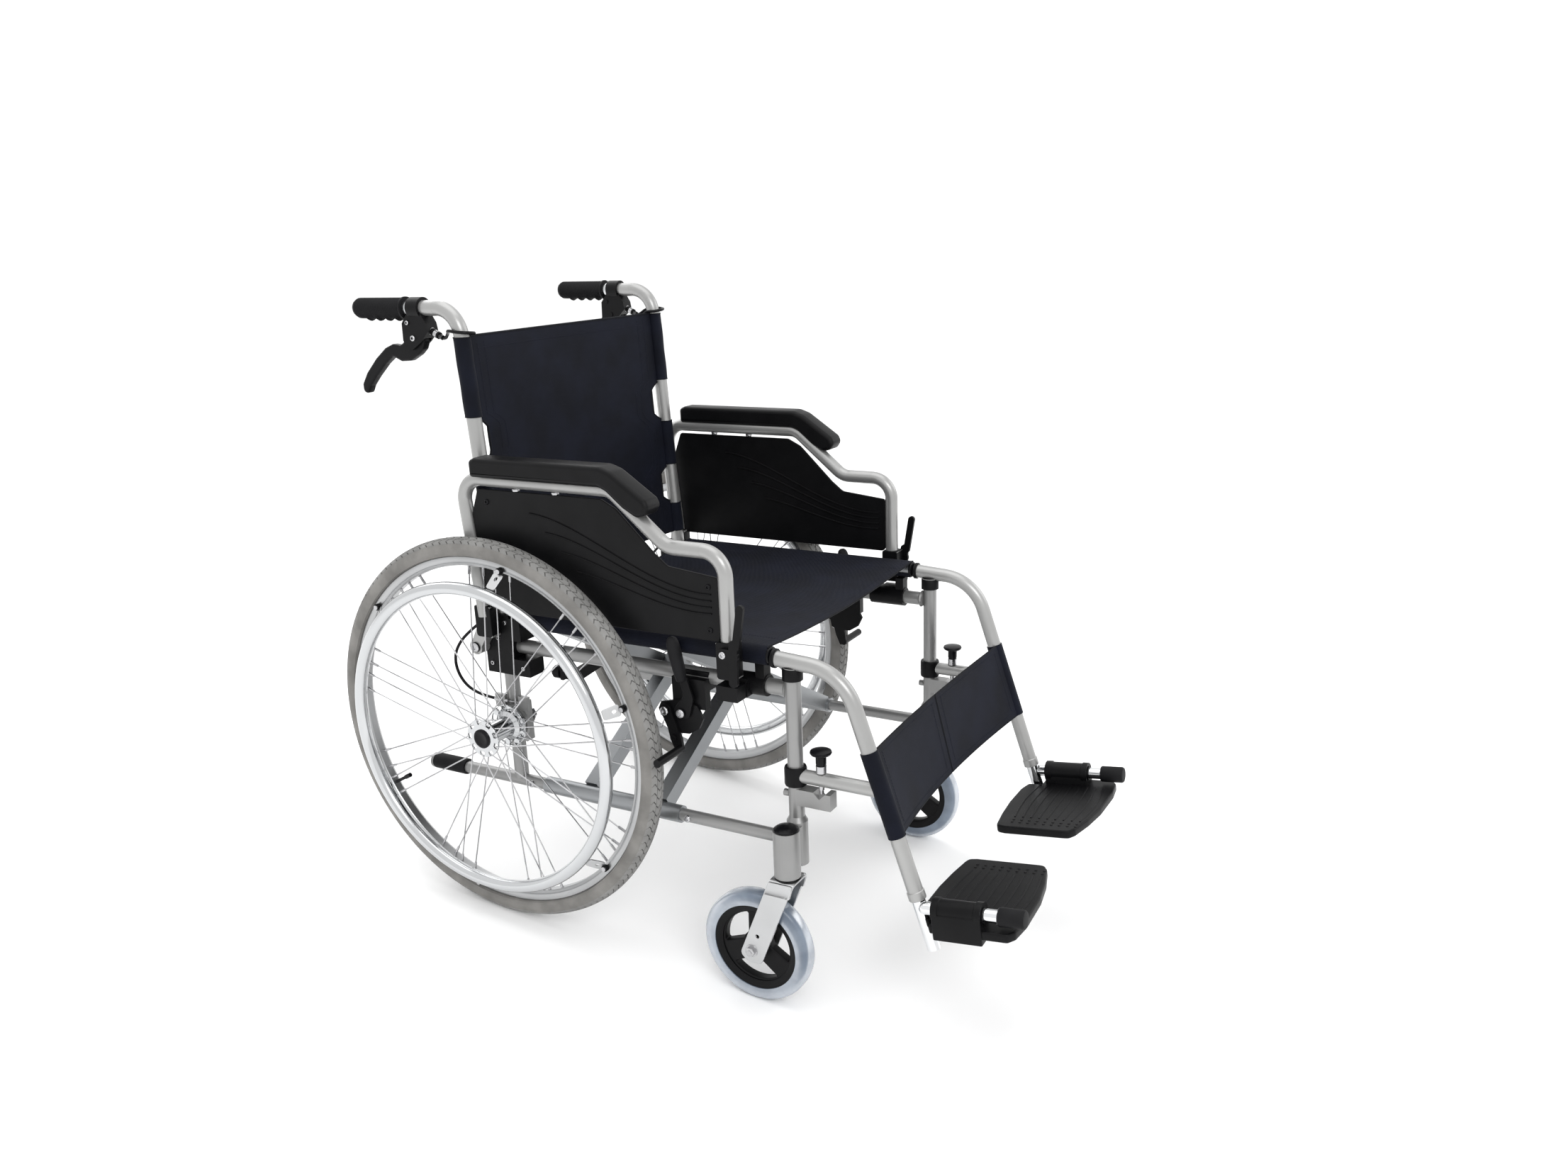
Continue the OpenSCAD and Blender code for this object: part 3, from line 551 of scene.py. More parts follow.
def wheel(tag, side):
    add = partial(piece, tag, side, "wheel")
    carcass, tread = tyre_parts()
    shell = add("tyre_body", carcass, SIDEWALL, replaces="tyre")
    # painted shade: the carcass crown between the tread blocks takes the darker second slot, for the
    # shadow in the grooves
    shell.data.materials.append(GROOVE_SHADE)
    for face in shell.data.polygons:
        middle = np.mean([shell.data.vertices[i].co for i in face.vertices], axis=0)
        radius = math.hypot(middle[1] - HUB_Y, middle[2] - HUB_Z)
        if abs(abs(middle[0]) / MM - WHEEL_X) < 13.6 and radius > 290 * MM:
            face.material_index = 1
    add("tyre_tread", tread, TREAD, smooth=25)
    for k, x in ((0, -15.2), (1, 15.2)):
        bead = oval(0.8, 0.9, 8, (x, 279.5))
        add("tyre_bead%d" % k, lathe(bead, WHEEL_CENTRE, n=160, closed=True), SIDEWALL)
    add("rim_shell", lathe(RIM_PROFILE, WHEEL_CENTRE, n=160, closed=True), RIM_ALLOY, smooth=30,
        replaces="rim")

    hub_shape = [(260, 25.5), (261.4, 27), (266.5, 27), (268, 24), (271.5, 23), (276, 17),
                 (282, 15.5), (318, 15.5), (322, 18), (325, 22), (328.6, 22), (329.4, 17)]
    add("hub_shell", lathe(hub_shape, HUB, n=56), POLISHED, smooth=30, replaces="hub")
    add("hub_flanges", join([flange(268, 271.5, 33, 24), flange(325, 328.5, 30, 20)]), POLISHED)
    cap = [(328.4, 15), (331.2, 15), (332.6, 13.6), (333, 11), (332.2, 9), (332.2, 0)]
    add("hub_cap", lathe(cap, HUB, n=40), GLOSS_BLACK)
    wires, nipples = [], []
    for i in range(SPOKES):
        inner = i % 2
        back = (i // 2) % 2
        start = 2 * math.pi * i / SPOKES + math.radians(22 if back else -22)
        end = 2 * math.pi * i / SPOKES + math.radians(-7 if back else 7)
        x0 = 269.8 if inner else 326.8
        off = 1.9 if back else -1.9
        r0 = 28.5 if inner else 26
        a = np.array([x0 + off, r0 * math.cos(start), AXLE + r0 * math.sin(start)])
        x1 = WHEEL_X - 2 if inner else WHEEL_X + 2
        b = np.array([x1, 262.6 * math.cos(end), AXLE + 262.6 * math.sin(end)])
        d = (b - a) / np.linalg.norm(b - a)
        wires.append(rod(a, b - 13 * d, 1.05, 6))
        nipples.append(sweep([b - 15 * d, b - 13.5 * d, b - 2 * d, b],
                             lambda k: circle((1.3, 2.0, 2.0, 2.6)[k], 8)))
    add("spokes", join(wires), STEEL, slot="polished", smooth=60)
    add("nipples", join(nipples), STEEL, slot="polished")
    v, f = join([rod((WHEEL_X, 0, 265), (WHEEL_X, 0, 236), 2.6, 12),
                 rod((WHEEL_X, 0, 236), (WHEEL_X, 0, 224), 3.6, 12)])
    turn = math.radians(241)
    y, z = v[:, 1].copy(), v[:, 2].copy()
    v[:, 1] = y * math.cos(turn) - z * math.sin(turn)
    v[:, 2] = y * math.sin(turn) + z * math.cos(turn) + AXLE
    add("valve", (v, f), GLOSS_BLACK)

    ring = circle(9.5, 20, (340.5, 237.5))
    add("handrim_hoop", lathe(ring, HUB, n=160, closed=True), POLISHED, replaces="handrim")
    tabs, bolts, spacers = [], [], []
    for i in range(6):
        a = math.radians(60 * i + 12 + 90)
        flat = corners([(-7.5, -10), (7.5, -10), (9, 9), (-9, 9)], 3, 4)
        v, f = plate(flat, 2.4, holes=[circle(2.6, 14, (0, 2.6))], bevel=0.5)
        # the tab leans 45 degrees from the hoop in to the rim's flank
        along, over = v[:, 1] * 1.35 * math.sqrt(0.5), (v[:, 2] - 1.2) * math.sqrt(0.5)
        x = 323.0 - along + over
        r = 255.0 + along + over
        c, s = math.cos(a), math.sin(a)
        tabs.append((np.stack([x, r * c - v[:, 0] * s, AXLE + r * s + v[:, 0] * c], 1), f))
        y, z = 268.5 * c, AXLE + 268.5 * s
        spacers.append(rod((311.4, y, z), (316.5, y, z), 5.2, 20))
        bolts.append(rod((316.5, y, z), (319, y, z), 3.6, 16))
    add("handrim_tabs", join(tabs), ALLOY)
    add("handrim_spacers", join(spacers), BLACK)
    add("handrim_bolts", join(bolts), STEEL, slot="polished")


# -------------------- castors
def caster(tag, side):
    add = partial(piece, tag, side, "caster")
    centre = (CASTER_X, CASTER_Y, CASTER_Z)
    tyre_shape = [(-14, 66.2), (-14.3, 72), (-14.2, 78), (-12.6, 82.4), (-9, 85.2), (-4.5, 85.95),
                  (4.5, 85.95), (9, 85.2), (12.6, 82.4), (14.2, 78), (14.3, 72), (14, 66.2)]
    add("caster_band", lathe(tyre_shape, centre, n=110, closed=True), CASTER_PU, replaces="caster_tyre")

    windows = []
    for k in range(3):
        mid = math.radians(35 + 120 * k)
        outer = [(53 * math.cos(mid + a), 53 * math.sin(mid + a)) for a in np.linspace(-0.72, 0.72, 13)]
        inner = [(23 * math.cos(mid + a), 23 * math.sin(mid + a)) for a in np.linspace(0.34, -0.34, 5)]
        radii = [5.5] + [0] * 11 + [5.5] * 3 + [0] * 3 + [5.5]
        windows.append(corners(outer + inner, radii, 4))
    v, f = side_plate(CASTER_X - 7.5, circle(64, 96), 15, holes=windows, bevel=2.4, steps=3)
    web = (v + (0, CASTER_Y, CASTER_Z), f)
    lip = lathe([(-12.5, 62), (-12.5, 66.6), (12.5, 66.6), (12.5, 62), (9, 56), (-9, 56)],
                centre, n=96, closed=True)
    half = [(18, 4.2), (18, 9.5), (16.5, 11.5), (9, 13.5), (7, 20)]
    boss = lathe([(-s, r) for s, r in half] + half[::-1], centre, n=48, closed=True)
    add("caster_wheel", join([web, lip, boss]), BLACK, smooth=35, replaces="caster_core")

    legs = []
    for x0 in (CASTER_X - 23, CASTER_X + 19):
        outline = [(-511, 160.5), (-473, 160.5), (CASTER_Y + 19, CASTER_Z - 8),
                   (CASTER_Y + 6, CASTER_Z - 20), (CASTER_Y - 16, CASTER_Z - 18)]
        loop = corners(outline, [3, 3, 9, 12, 9])
        holes = [circle(3.1, 14, (CASTER_Y - 10.5, CASTER_Z + 25.5))]
        legs.append(side_plate(x0, loop, 4, holes=holes, bevel=0.8))
    left, right = CASTER_X - 21, CASTER_X + 21
    arch = [(left, 0, 140), (left, 0, 160), (right, 0, 160), (right, 0, 140)]
    av, af = sweep(rounded(arch, 9, 7), [(-19.3, 2), (19.3, 2), (19.3, -2), (-19.3, -2)])
    av[:, 1] += HEAD_Y + (161 - av[:, 2]) * 0.30
    strip = (av, af)
    stem = lathe([(161.5, 15), (164, 15), (164.4, 13)], (CASTER_X, HEAD_Y, 0), (0, 0, 1), 40)
    shaft = lathe([(164, 8), (224, 8)], (CASTER_X, HEAD_Y, 0), (0, 0, 1), 32)
    add("caster_yoke", join([*legs, strip, stem, shaft]), ALLOY, on="fork", smooth=35,
        replaces="caster_fork")

    def axle(x0, x1, r, n):
        return rod((CASTER_X + x0, CASTER_Y, CASTER_Z), (CASTER_X + x1, CASTER_Y, CASTER_Z), r, n)

    nuts = [axle(-29, 30.5, 3.9, 20), hex_head(CASTER_X + 24, CASTER_X + 29, CASTER_Y, CASTER_Z, 7.4),
            axle(23, 24.2, 9.6, 32), axle(-24.2, -23, 9.6, 32), axle(-27.5, -24, 7, 6)]
    add("caster_axle", join(nuts), STEEL, on="fork")


# -------------------- frame dressing
def frame_trim(tag, side):
    add = partial(piece, tag, side, "frame")
    tip = [(121, 9.7), (121, 12.2), (122.5, 12.9), (186, 12.9), (191, 11.6), (193, 7), (193, 0)]
    add("rail_tip", lathe(tip, (HANG_X, 0, RAIL_Z), (0, 1, 0), 36), GRIP_RUBBER)
    cap = [(234.2, 17.6), (236.2, 17.6), (239.4, 13), (241, 7), (241.3, 0)]
    add("head_cap", lathe(cap, (CASTER_X, HEAD_Y, 0), (0, 0, 1), 48), GLOSS_BLACK)
    seal = [(163.2, 15.2), (163.6, 18.4), (165, 18.4), (165, 15.2)]
    add("head_seal", lathe(seal, (CASTER_X, HEAD_Y, 0), (0, 0, 1), 48, True), GLOSS_BLACK)
    weld = []
    for place, r in (((HANG_X, -476.6, RAIL_Z), 10.4), ((234, -476.9, 423.6), 11.9)):
        weld.append(lathe([(-2.2, r), (0, r + 2.0), (2.6, r - 0.6)], place, (0, 1, 0), 32))
    add("welds", join(weld), SILVER)
    bolts = [socket_head(252.3, 256, y, RAIL_Z, 5.5) for y in (-19, -311)]
    for y, z in ((-321, 374), (-294, 374)):
        bolts.append(socket_head(268.2, 271.6, y, z, 6.6))
    bolts.append(socket_head(260.8, 262.8, -297, 346, 4.4))
    for y, z in ((-2, 466), (14, 440), (30, 398), (-30, 396)):
        bolts.append(socket_head(256.3, 258.2, y, z, 4.1))
    bolts.append(rod((250, -24, 336), (256.9, -24, 336), 2.4, 12))
    add("frame_bolts", join(bolts), STEEL)
    washer = rod((222, 0, AXLE), (224, 0, AXLE), 13.5, 32)
    add("axle_nut", join([hex_head(215, 222, 0, AXLE, 11), washer]), STEEL)
    end = lathe([(-459.5, 0), (-459.5, 9), (-458, 12.4), (-455.6, 12.9), (-454, 12.9), (-454, 10)],
                (CANE_X, 0, SEAT_Z), (0, 1, 0), 36)
    brace = "brace_a" if side > 0 else "brace_b"
    build("seat_tube_cap_" + tag, *end, GLOSS_BLACK, brace, side, "black_plastic")


# -------------------- grips, brake and cable
def push_grip(tag, side):
    """Push grip: fine ribs all round and finger waves below, with a flared end."""
    add = partial(piece, tag, side, "frame")
    ys = [134 + k * 1.01 for k in range(98)]

    def section(i):
        y = ys[i]
        r = 14.6 + 0.35 * (-1) ** i
        if y < 138:
            r = 16.4
        if y > 226:
            r = 15.2 - 0.5 * (y - 226)
        return circle(r, 28)

    v, f = sweep([(CANE_X, y, HANDLE_Z) for y in ys], section)
    below = np.clip((HANDLE_Z - v[:, 2]) / 15, 0, 1) ** 2
    wave = 3.6 * np.clip(np.cos((v[:, 1] - 150) * 2 * math.pi / 19), 0, 1) * below
    inside = (v[:, 1] > 142) & (v[:, 1] < 222)
    v[:, 2] -= np.where(inside, wave, 0)
    add("grip", (v, f), GRIP_RUBBER, smooth=50, replaces="push_grip")
    ring = lathe([(124.5, 11.3), (124.5, 11.6), (133.5, 11.6), (133.5, 11.3)],
                 (CANE_X, 0, HANDLE_Z), (0, 1, 0), 40, True)
    add("cane_sleeve", ring, POLISHED, slot="chrome")


LEVER = [(112, 893), (103, 888), (101, 878), (106, 868), (116, 860), (134, 851), (152, 850),
         (168, 857), (186, 845), (208, 826), (222, 812), (229, 800), (238, 803), (238, 815),
         (226, 832), (204, 853), (182, 869), (166, 875), (152, 873), (144, 877), (136, 890),
         (124, 894)]


def brake(tag, side):
    add = partial(piece, tag, side, "frame")
    loop = corners(LEVER, 7, 4)
    v, f = side_plate(CANE_X - 7, loop, 14, holes=[circle(4.3, 20, (118, 884))], bevel=3.2, steps=3)
    add("brake_handle", (v, f), BLACK, on="brake_lever", smooth=35, replaces="brake_lever")
    small = [socket_head(252.2, 254.4, 126, 906, 3.4), socket_head(252.2, 254.6, 118, 884, 4.4),
             lathe([(0, 3.4), (3, 4.4), (6, 3.2), (7, 0)], (CANE_X, 129, 907), (0, 0.6, 0.8), 20)]
    add("mount_screws", join(small), STEEL)
    a, b = np.array([CANE_X, 96, 896.0]), np.array([CANE_X, 70, 884.3])
    u = (b - a) / np.linalg.norm(b - a)
    steps = [(0, 5.6), (6, 5.6), (7, 4.2), (12, 4.2), (12.5, 5.4), (18, 5.4), (19, 3.6), (28, 3.6)]
    adjuster = lathe(steps, a + u * 0.5, u, 20)
    add("adjuster", adjuster, STEEL)


CABLE = [(241, 68.6, 883.7), (242, 63, 885), (246, 55, 891), (254.4, 46, 895), (255.2, 34, 894),
         (252, 22, 893), (244, 16.5, 892), (234, 17, 891), (227, 24, 890), (223, 36, 889),
         (222, 44, 882), (222, 46, 868), (223, 42, 830), (223, 39, 780), (223, 36, 720),
         (223, 32, 660), (223, 29, 600), (223, 27, 550), (223, 29, 515), (225, 36, 490),
         (229, 45, 472), (234, 60, 457), (239, 81, 441), (242, 103, 421), (244, 116, 401),
         (246, 118, 382), (248, 111, 364), (251, 95, 350), (253, 74, 342), (254.3, 52, 339),
         (254.3, 33.1, 337.5)]


def cable(tag, side):
    add = partial(piece, tag, side, "frame")
    path = smooth_path(CABLE, 5)
    obj = add("cable", sweep(path, circle(2.35, 12)), GLOSS_BLACK, smooth=60, replaces="brake_cable")
    steps = [(2, 2.4), (2, 3.4), (-12, 3.4), (-12.6, 2.2), (-17, 2.2), (-17.4, 3), (-24, 3), (-24, 0)]
    barrel = lathe(steps, path[-1], (0, 1, 0), 16)
    wire = rod((254.3, 9, 337), (254.3, -22, 338), 0.9, 8)
    add("cable_ends", join([barrel, wire]), STEEL)


# -------------------- fabric
def grid_faces(nu, nv, flip=False):
    faces = [(i * nv + j, i * nv + j + 1, (i + 1) * nv + j + 1, (i + 1) * nv + j)
             for i in range(nu - 1) for j in range(nv - 1)]
    return [tuple(reversed(q)) for q in faces] if flip else faces


def settle(name, points, nu, nv, pinned, push, frames_run=28):
    """Runs cloth on a level-frame grid held at its pinned points, with push as its gravity."""
    mesh = bpy.data.meshes.new(name + "_sim")
    mesh.from_pydata([tuple(p) for p in np.asarray(points) * MM], [], grid_faces(nu, nv))
    obj = bpy.data.objects.new(name + "_sim", mesh)
    bpy.context.scene.collection.objects.link(obj)
    group = obj.vertex_groups.new(name="hold")
    group.add([int(i) for i in pinned], 1.0, "REPLACE")
    cloth = obj.modifiers.new("cloth", "CLOTH")
    cloth.settings.quality = 6
    cloth.settings.mass = 0.35
    cloth.settings.tension_stiffness = 60
    cloth.settings.compression_stiffness = 25
    cloth.settings.shear_stiffness = 18
    cloth.settings.bending_stiffness = 1.2
    cloth.settings.vertex_group_mass = "hold"
    cloth.collision_settings.use_collision = False
    cloth.point_cache.frame_start = 1
    cloth.point_cache.frame_end = frames_run
    scene = bpy.context.scene
    gravity = tuple(scene.gravity)
    scene.gravity = push
    for k in range(1, frames_run + 1):
        scene.frame_set(k)
    graph = bpy.context.evaluated_depsgraph_get()
    moved = np.array([v.co for v in obj.evaluated_get(graph).data.vertices], float) * 1000
    scene.gravity = gravity
    scene.frame_set(1)
    bpy.data.objects.remove(obj)
    return moved


def slab(top, nu, nv, thick):
    """A closed sheet of a thickness from a grid of middle points, thickened along its normals."""
    g = np.asarray(top, float).reshape(nu, nv, 3)
    du = np.gradient(g, axis=0)
    dv = np.gradient(g, axis=1)
    nrm = np.cross(du, dv)
    nrm /= np.linalg.norm(nrm, axis=2)[:, :, None] + 1e-9
    a = (g + nrm * thick / 2).reshape(-1, 3)
    b = (g - nrm * thick / 2).reshape(-1, 3)
    n = nu * nv
    faces = grid_faces(nu, nv) + [tuple(i + n for i in f) for f in grid_faces(nu, nv, True)]
    last = nv - 1
    edge = [(i * nv, (i + 1) * nv) for i in range(nu - 1)]
    edge += [((i + 1) * nv + last, i * nv + last) for i in range(nu - 1)]
    edge += [(j + 1, j) for j in range(last)]
    edge += [(n - nv + j, n - nv + j + 1) for j in range(last)]
    faces += [(p, q, q + n, p + n) for p, q in edge]
    return np.vstack([a, b]), faces


def stitches(line, pitch=4.5, size=0.42):
    """A row of short raised stitches along a line of level-frame points."""
    p = np.asarray(line, float)
    seg = np.linalg.norm(np.diff(p, axis=0), axis=1)
    at = np.concatenate([[0], np.cumsum(seg)])
    parts = []
    for k in range(int(at[-1] / pitch)):
        s0, s1 = k * pitch, k * pitch + pitch * 0.62
        a = np.array([np.interp(s0, at, p[:, i]) for i in range(3)])
        b = np.array([np.interp(s1, at, p[:, i]) for i in range(3)])
        parts.append(sweep([a, (a + b) / 2, b], lambda i: circle(size if i == 1 else 0.5 * size, 6)))
    return parts


WRAP_TURN = math.radians(250)


def seat():
    """The seat sling: a sheet that wraps both seat tubes and sags between them, with hems and seams."""
    y0, y1 = -455.0, -13.0
    nv = 61
    ys = np.linspace(y0, y1, nv)
    wrap = SEAT_R + 1.25
    nu_mid = 49
    xs = np.linspace(-CANE_X, CANE_X, nu_mid)
    flat = np.array([[x, y, SEAT_Z + wrap] for x in xs for y in ys])
    pinned = [i for i in range(len(flat)) if abs(flat[i][0]) > CANE_X - 1]
    mid = settle("seat", flat, nu_mid, nv, pinned, (0, 0, -9.8))
    drop = flat[:, 2] - mid[:, 2]
    mid = flat + (mid - flat) * (SEAT_SAG / max(float(drop.max()), 0.5))
    ripple = 0.35 * np.sin(mid[:, 1] / 31 + mid[:, 0] / 47)
    mid[:, 2] += ripple * (1 - (flat[:, 0] / CANE_X) ** 2)
    mid = mid.reshape(nu_mid, nv, 3)
    # the free front and rear edges draw in a little between the tubes
    draw = (1 - (xs / CANE_X) ** 2)[:, None] * 5
    edge = np.abs(np.linspace(-1, 1, nv))[None, :] ** 6 * np.sign(np.linspace(1, -1, nv))[None, :]
    mid[:, :, 1] += draw * edge
    turns = np.linspace(math.radians(10), WRAP_TURN, 15)
    right = np.array([[CANE_X + wrap * math.sin(a), y, SEAT_Z + wrap * math.cos(a)]
                      for a in turns for y in ys])
    left = right.reshape(len(turns), nv, 3)[::-1].reshape(-1, 3) * (-1, 1, 1)
    grid = np.vstack([left, mid.reshape(-1, 3), right])
    nu = nu_mid + 2 * len(turns)
    v, f = slab(grid, nu, nv, 1.6)
    sling = build("seat_fabric", v, f, NYLON, "brace_a", slot="fabric", smooth=60, ride=False)
    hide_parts("seat_sling")
    g = grid.reshape(nu, nv, 3)
    lines = []
    up = np.array([0, 0, 0.95])
    for j in (2, nv - 3):
        lines += stitches(g[14:-14, j] + up)
    for i in (19, nu - 20):
        lines += stitches(g[i, 1:-1] + up)
    thread = build("seat_stitches", *join(lines), STITCH, "brace_a", slot="fabric", ride=False)
    hems = [sweep(g[13:-13, j], circle(1.5, 8)) for j in (0, nv - 1)]
    binding = build("seat_binding", *join(hems), WEBBING, "brace_a", slot="fabric", ride=False)
    for obj in (sling, thread, binding):
        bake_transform(obj)


SLEEVES = ((500, 552), (622, 700), (772, 886))


def back():
    """The back sling: a sagging panel with three sleeves a side and bound cut-outs."""
    z0, z1 = 500.0, 886.0
    nv = 66
    zs = np.linspace(z0, z1, nv)
    nu = 61

    def edge(z):
        """Half width of the panel at height z: out to the cane at a sleeve, and in at a cut-out."""
        for a, b in ((552, 622), (700, 772)):
            if a < z < b:
                t = (z - a) / (b - a)
                return CANE_X - 30 * min(1.0, 4.5 * t, 4.5 * (1 - t)) ** 0.6
        return CANE_X

    half = np.array([edge(z) for z in zs])
    us = np.linspace(-1, 1, nu)
    flat = np.array([[u * h, cane_y(z), z] for u in us for z, h in zip(zs, half)])
    pinned = [i for i, p in enumerate(flat) if abs(p[0]) > CANE_X - 1]
    shape = (1 - np.abs(np.repeat(us, nv)) ** 2.4)
    mid = settle("back", flat, nu, nv, pinned, (0, 7.5, -2.0))
    push = mid[:, 1] - flat[:, 1]
    mid = flat + (mid - flat) * (BACK_SAG / max(float(push.max()), 0.5))
    mid[:, 1] += 0.5 * np.sin(flat[:, 2] / 26 + flat[:, 0] / 60) * shape
    v, f = slab(mid, nu, nv, 2.2)
    panel = build("back_fabric", v, f, NYLON, "frame_r", slot="fabric", smooth=60)
    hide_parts("back_sling")
    covers, thread = [], []
    for tag, side in SIDES:
        sleeves, rings = [], []
        for a, b in SLEEVES:
            path = [(CANE_X, cane_y(z), z) for z in np.linspace(a + 0.8, b - 0.8, 16)]
            tube, skin = sweep(path, circle(TUBE_R + 1.35, 30))
            turn = np.arctan2(tube[:, 1] - cane_y(tube[:, 2]), tube[:, 0] - CANE_X)
            tube[:, 1] += 0.35 * np.sin(tube[:, 2] / 9 + turn * 2)
            sleeves.append((tube, skin))
            for z in (a + 0.8, b - 0.8):
                hoop = [(x, y, z) for x, y in circle(TUBE_R + 1.1, 32, (CANE_X, cane_y(z)))]
                rings.append(sweep(hoop, circle(0.8, 8), closed=True))
        covers.append(piece(tag, side, "frame", "back_sleeves", join(sleeves), NYLON))
        covers.append(piece(tag, side, "frame", "back_sleeve_hems", join(rings), WEBBING))
    g = mid.reshape(nu, nv, 3)
    for off in (np.array([0, -1.35, 0]), np.array([0, 1.35, 0])):
        for i in (4, 6, nu - 7, nu - 5):
            thread += stitches(g[i, 1:-1] + off)
        for j in (2, nv - 4):
            thread += stitches(g[4:-4, j] + off)
    hems = [sweep(line, circle(1.9, 8)) for line in (g[:, 0], g[:, -1], g[0], g[-1])]
    binding = build("back_binding", *join(hems), WEBBING, "frame_r", slot="fabric")
    seam = build("back_stitches", *join(thread), STITCH, "frame_r", slot="fabric")
    for obj in (panel, binding, seam):
        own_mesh(obj)


def calf(tag, side):
    """Half of the calf strap: a padded band round the hanger, sagging to the middle of the chair."""
    add = partial(piece, tag, side, "hanger")
    n_dir = np.array([LEAN[1], -LEAN[0]])
    lift = TUBE_R + 1.2
    rows = np.linspace(-214, -93, 17)
    xs = np.linspace(3.0 if side > 0 else 0.3, HANG_X, 33)
    pts = []
    for x in xs:
        sag = CALF_SAG * (1 - (x / HANG_X) ** 2)
        for s in rows:
            p = down(s) + n_dir * (7.5 - sag * (0.8 + 0.2 * (s + 153) / 61))
            pts.append([x, p[0], p[1] - 0.12 * sag])
    v, f = slab(np.array(pts), len(xs), len(rows), 2.4)
    tube = sweep([(HANG_X, *down(s)) for s in np.linspace(-215, -92, 14)], circle(lift + 0.3, 32))
    band = add("calf_band", (v, f), NYLON, smooth=60, replaces="calf_strap")
    wrap = add("calf_sleeve", tube, NYLON, smooth=60)
    g = np.array(pts).reshape(len(xs), len(rows), 3)
    off = np.array([0, n_dir[0], n_dir[1]]) * 1.5
    lines = []
    for j in (1, len(rows) - 2):
        lines += stitches(g[1:-1, j] + off)
    for i in (2, len(xs) - 4):
        lines += stitches(g[i, 1:-1] + off)
    thread = add("calf_stitches", join(lines), STITCH)
    edge = [sweep(line, circle(1.7, 8)) for line in (g[:, 0], g[:, -1], g[0])]
    binding = add("calf_binding", join(edge), WEBBING)
    for obj in (band, thread, binding):
        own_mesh(obj)


# -------------------- armrests
ARM_X = 268.5


def armrest(tag, side):
    add = partial(piece, tag, side, "armrest")
    outline = [(4, 694), (4, 718), (-6, 722.5), (-228, 723), (-246, 717), (-300, 681), (-305, 671),
               (-298, 660), (-284, 656), (-262, 668), (-236, 689), (-224, 694)]
    loop = corners(outline, [5, 7, 10, 30, 30, 9, 9, 9, 12, 24, 20, 12])
    v, f = side_plate(256.3, loop, 36, bevel=6.5, steps=4)
    pad = add("arm_cushion", (v, f), PAD_SKIN, smooth=35, replaces="arm_pad")

    skirt = [(10, 673.5), (-212, 673.5), (-236, 662), (-296, 604), (-316, 588.5), (-395.8, 580),
             (-395.8, 490), (13, 490), (24.6, 636)]
    loop = corners(skirt, [6, 10, 22, 20, 14, 5, 8, 8, 12])
    v, f = side_plate(266.5, loop, 4, bevel=1.2, steps=2)
    ridges = []
    for k in range(4):
        line = []
        for s in np.linspace(0, 1, 40):
            ease = s * s * (3 - 2 * s)
            z = 556 - 9 * k + (88 - 17 * k) * ease - 6 * math.sin(math.pi * s)
            line.append((-384 + (300 - 26 * k) * s, z))
        for x in (266.6, 270.4):
            ridges.append(sweep([(x, y, z) for y, z in line], oval(1.1, 2.0, 10)))
    add("arm_panel", join([(v, f), *ridges]), BLACK, smooth=35, replaces="arm_skirt")
    screws = [socket_head(270.3, 272.6, y, z, 4.2)
              for y, z in ((-380, 566), (-380, 505), (-3, 505), (-6, 655))]
    under = [lathe([(0, 5.6), (1, 5.9), (3.4, 5.2), (4.4, 3)], (ARM_X, y, 677.6), (0, 0, -1), 24)
             for y in (-62, -133)]
    add("arm_screws", join(under), STEEL)
    add("skirt_screws", join(screws), GLOSS_BLACK)
    add("pivot_head", socket_head(277, 279.4, 43.5, 427, 7.4), STEEL, on="frame")
    front = corners([(-421.5, 440.6), (-393.5, 440.6), (-393.5, 493.5), (-421.5, 493.5)], 4, 4)
    rear = corners([(7.6, 445.6), (38.4, 445.6), (38.4, 495), (7.6, 495)], 5, 4)
    boxes = [side_plate(257.1, front, 24.4, bevel=1.2), side_plate(256.9, rear, 18.6, bevel=1.2)]
    add("arm_sockets", join(boxes), BLACK)
    add("catch_screw", socket_head(286.1, 288.9, -407, 478, 5.4), STEEL, on="arm_catch")


# -------------------- footrests
def foot_point(x, up, along):
    """Level-frame point from the footplate's own axes: out, up and forward along its hinge."""
    c, s = math.cos(FOOT_TOE), math.sin(FOOT_TOE)
    return FOOT_ORIGIN + np.array([x, -along * c + up * s, along * s + up * c])


def foot_points(v):
    return np.array([foot_point(*p) for p in v])


PLATE_OUTLINE = [(15, 8.5), (15, 119), (4, 127), (-30, 131), (-95, 129), (-140, 122), (-178, 112),
                 (-189, 105), (-190, 96), (-190, 2), (-187, -10), (-178, -13), (-140, -18), (-95, -21),
                 (-40, -20), (-18.4, -14), (-18.4, 8.5)]
PLATE_RADII = [2, 6, 12, 60, 60, 60, 12, 9, 5, 5, 9, 12, 60, 60, 60, 5, 2]


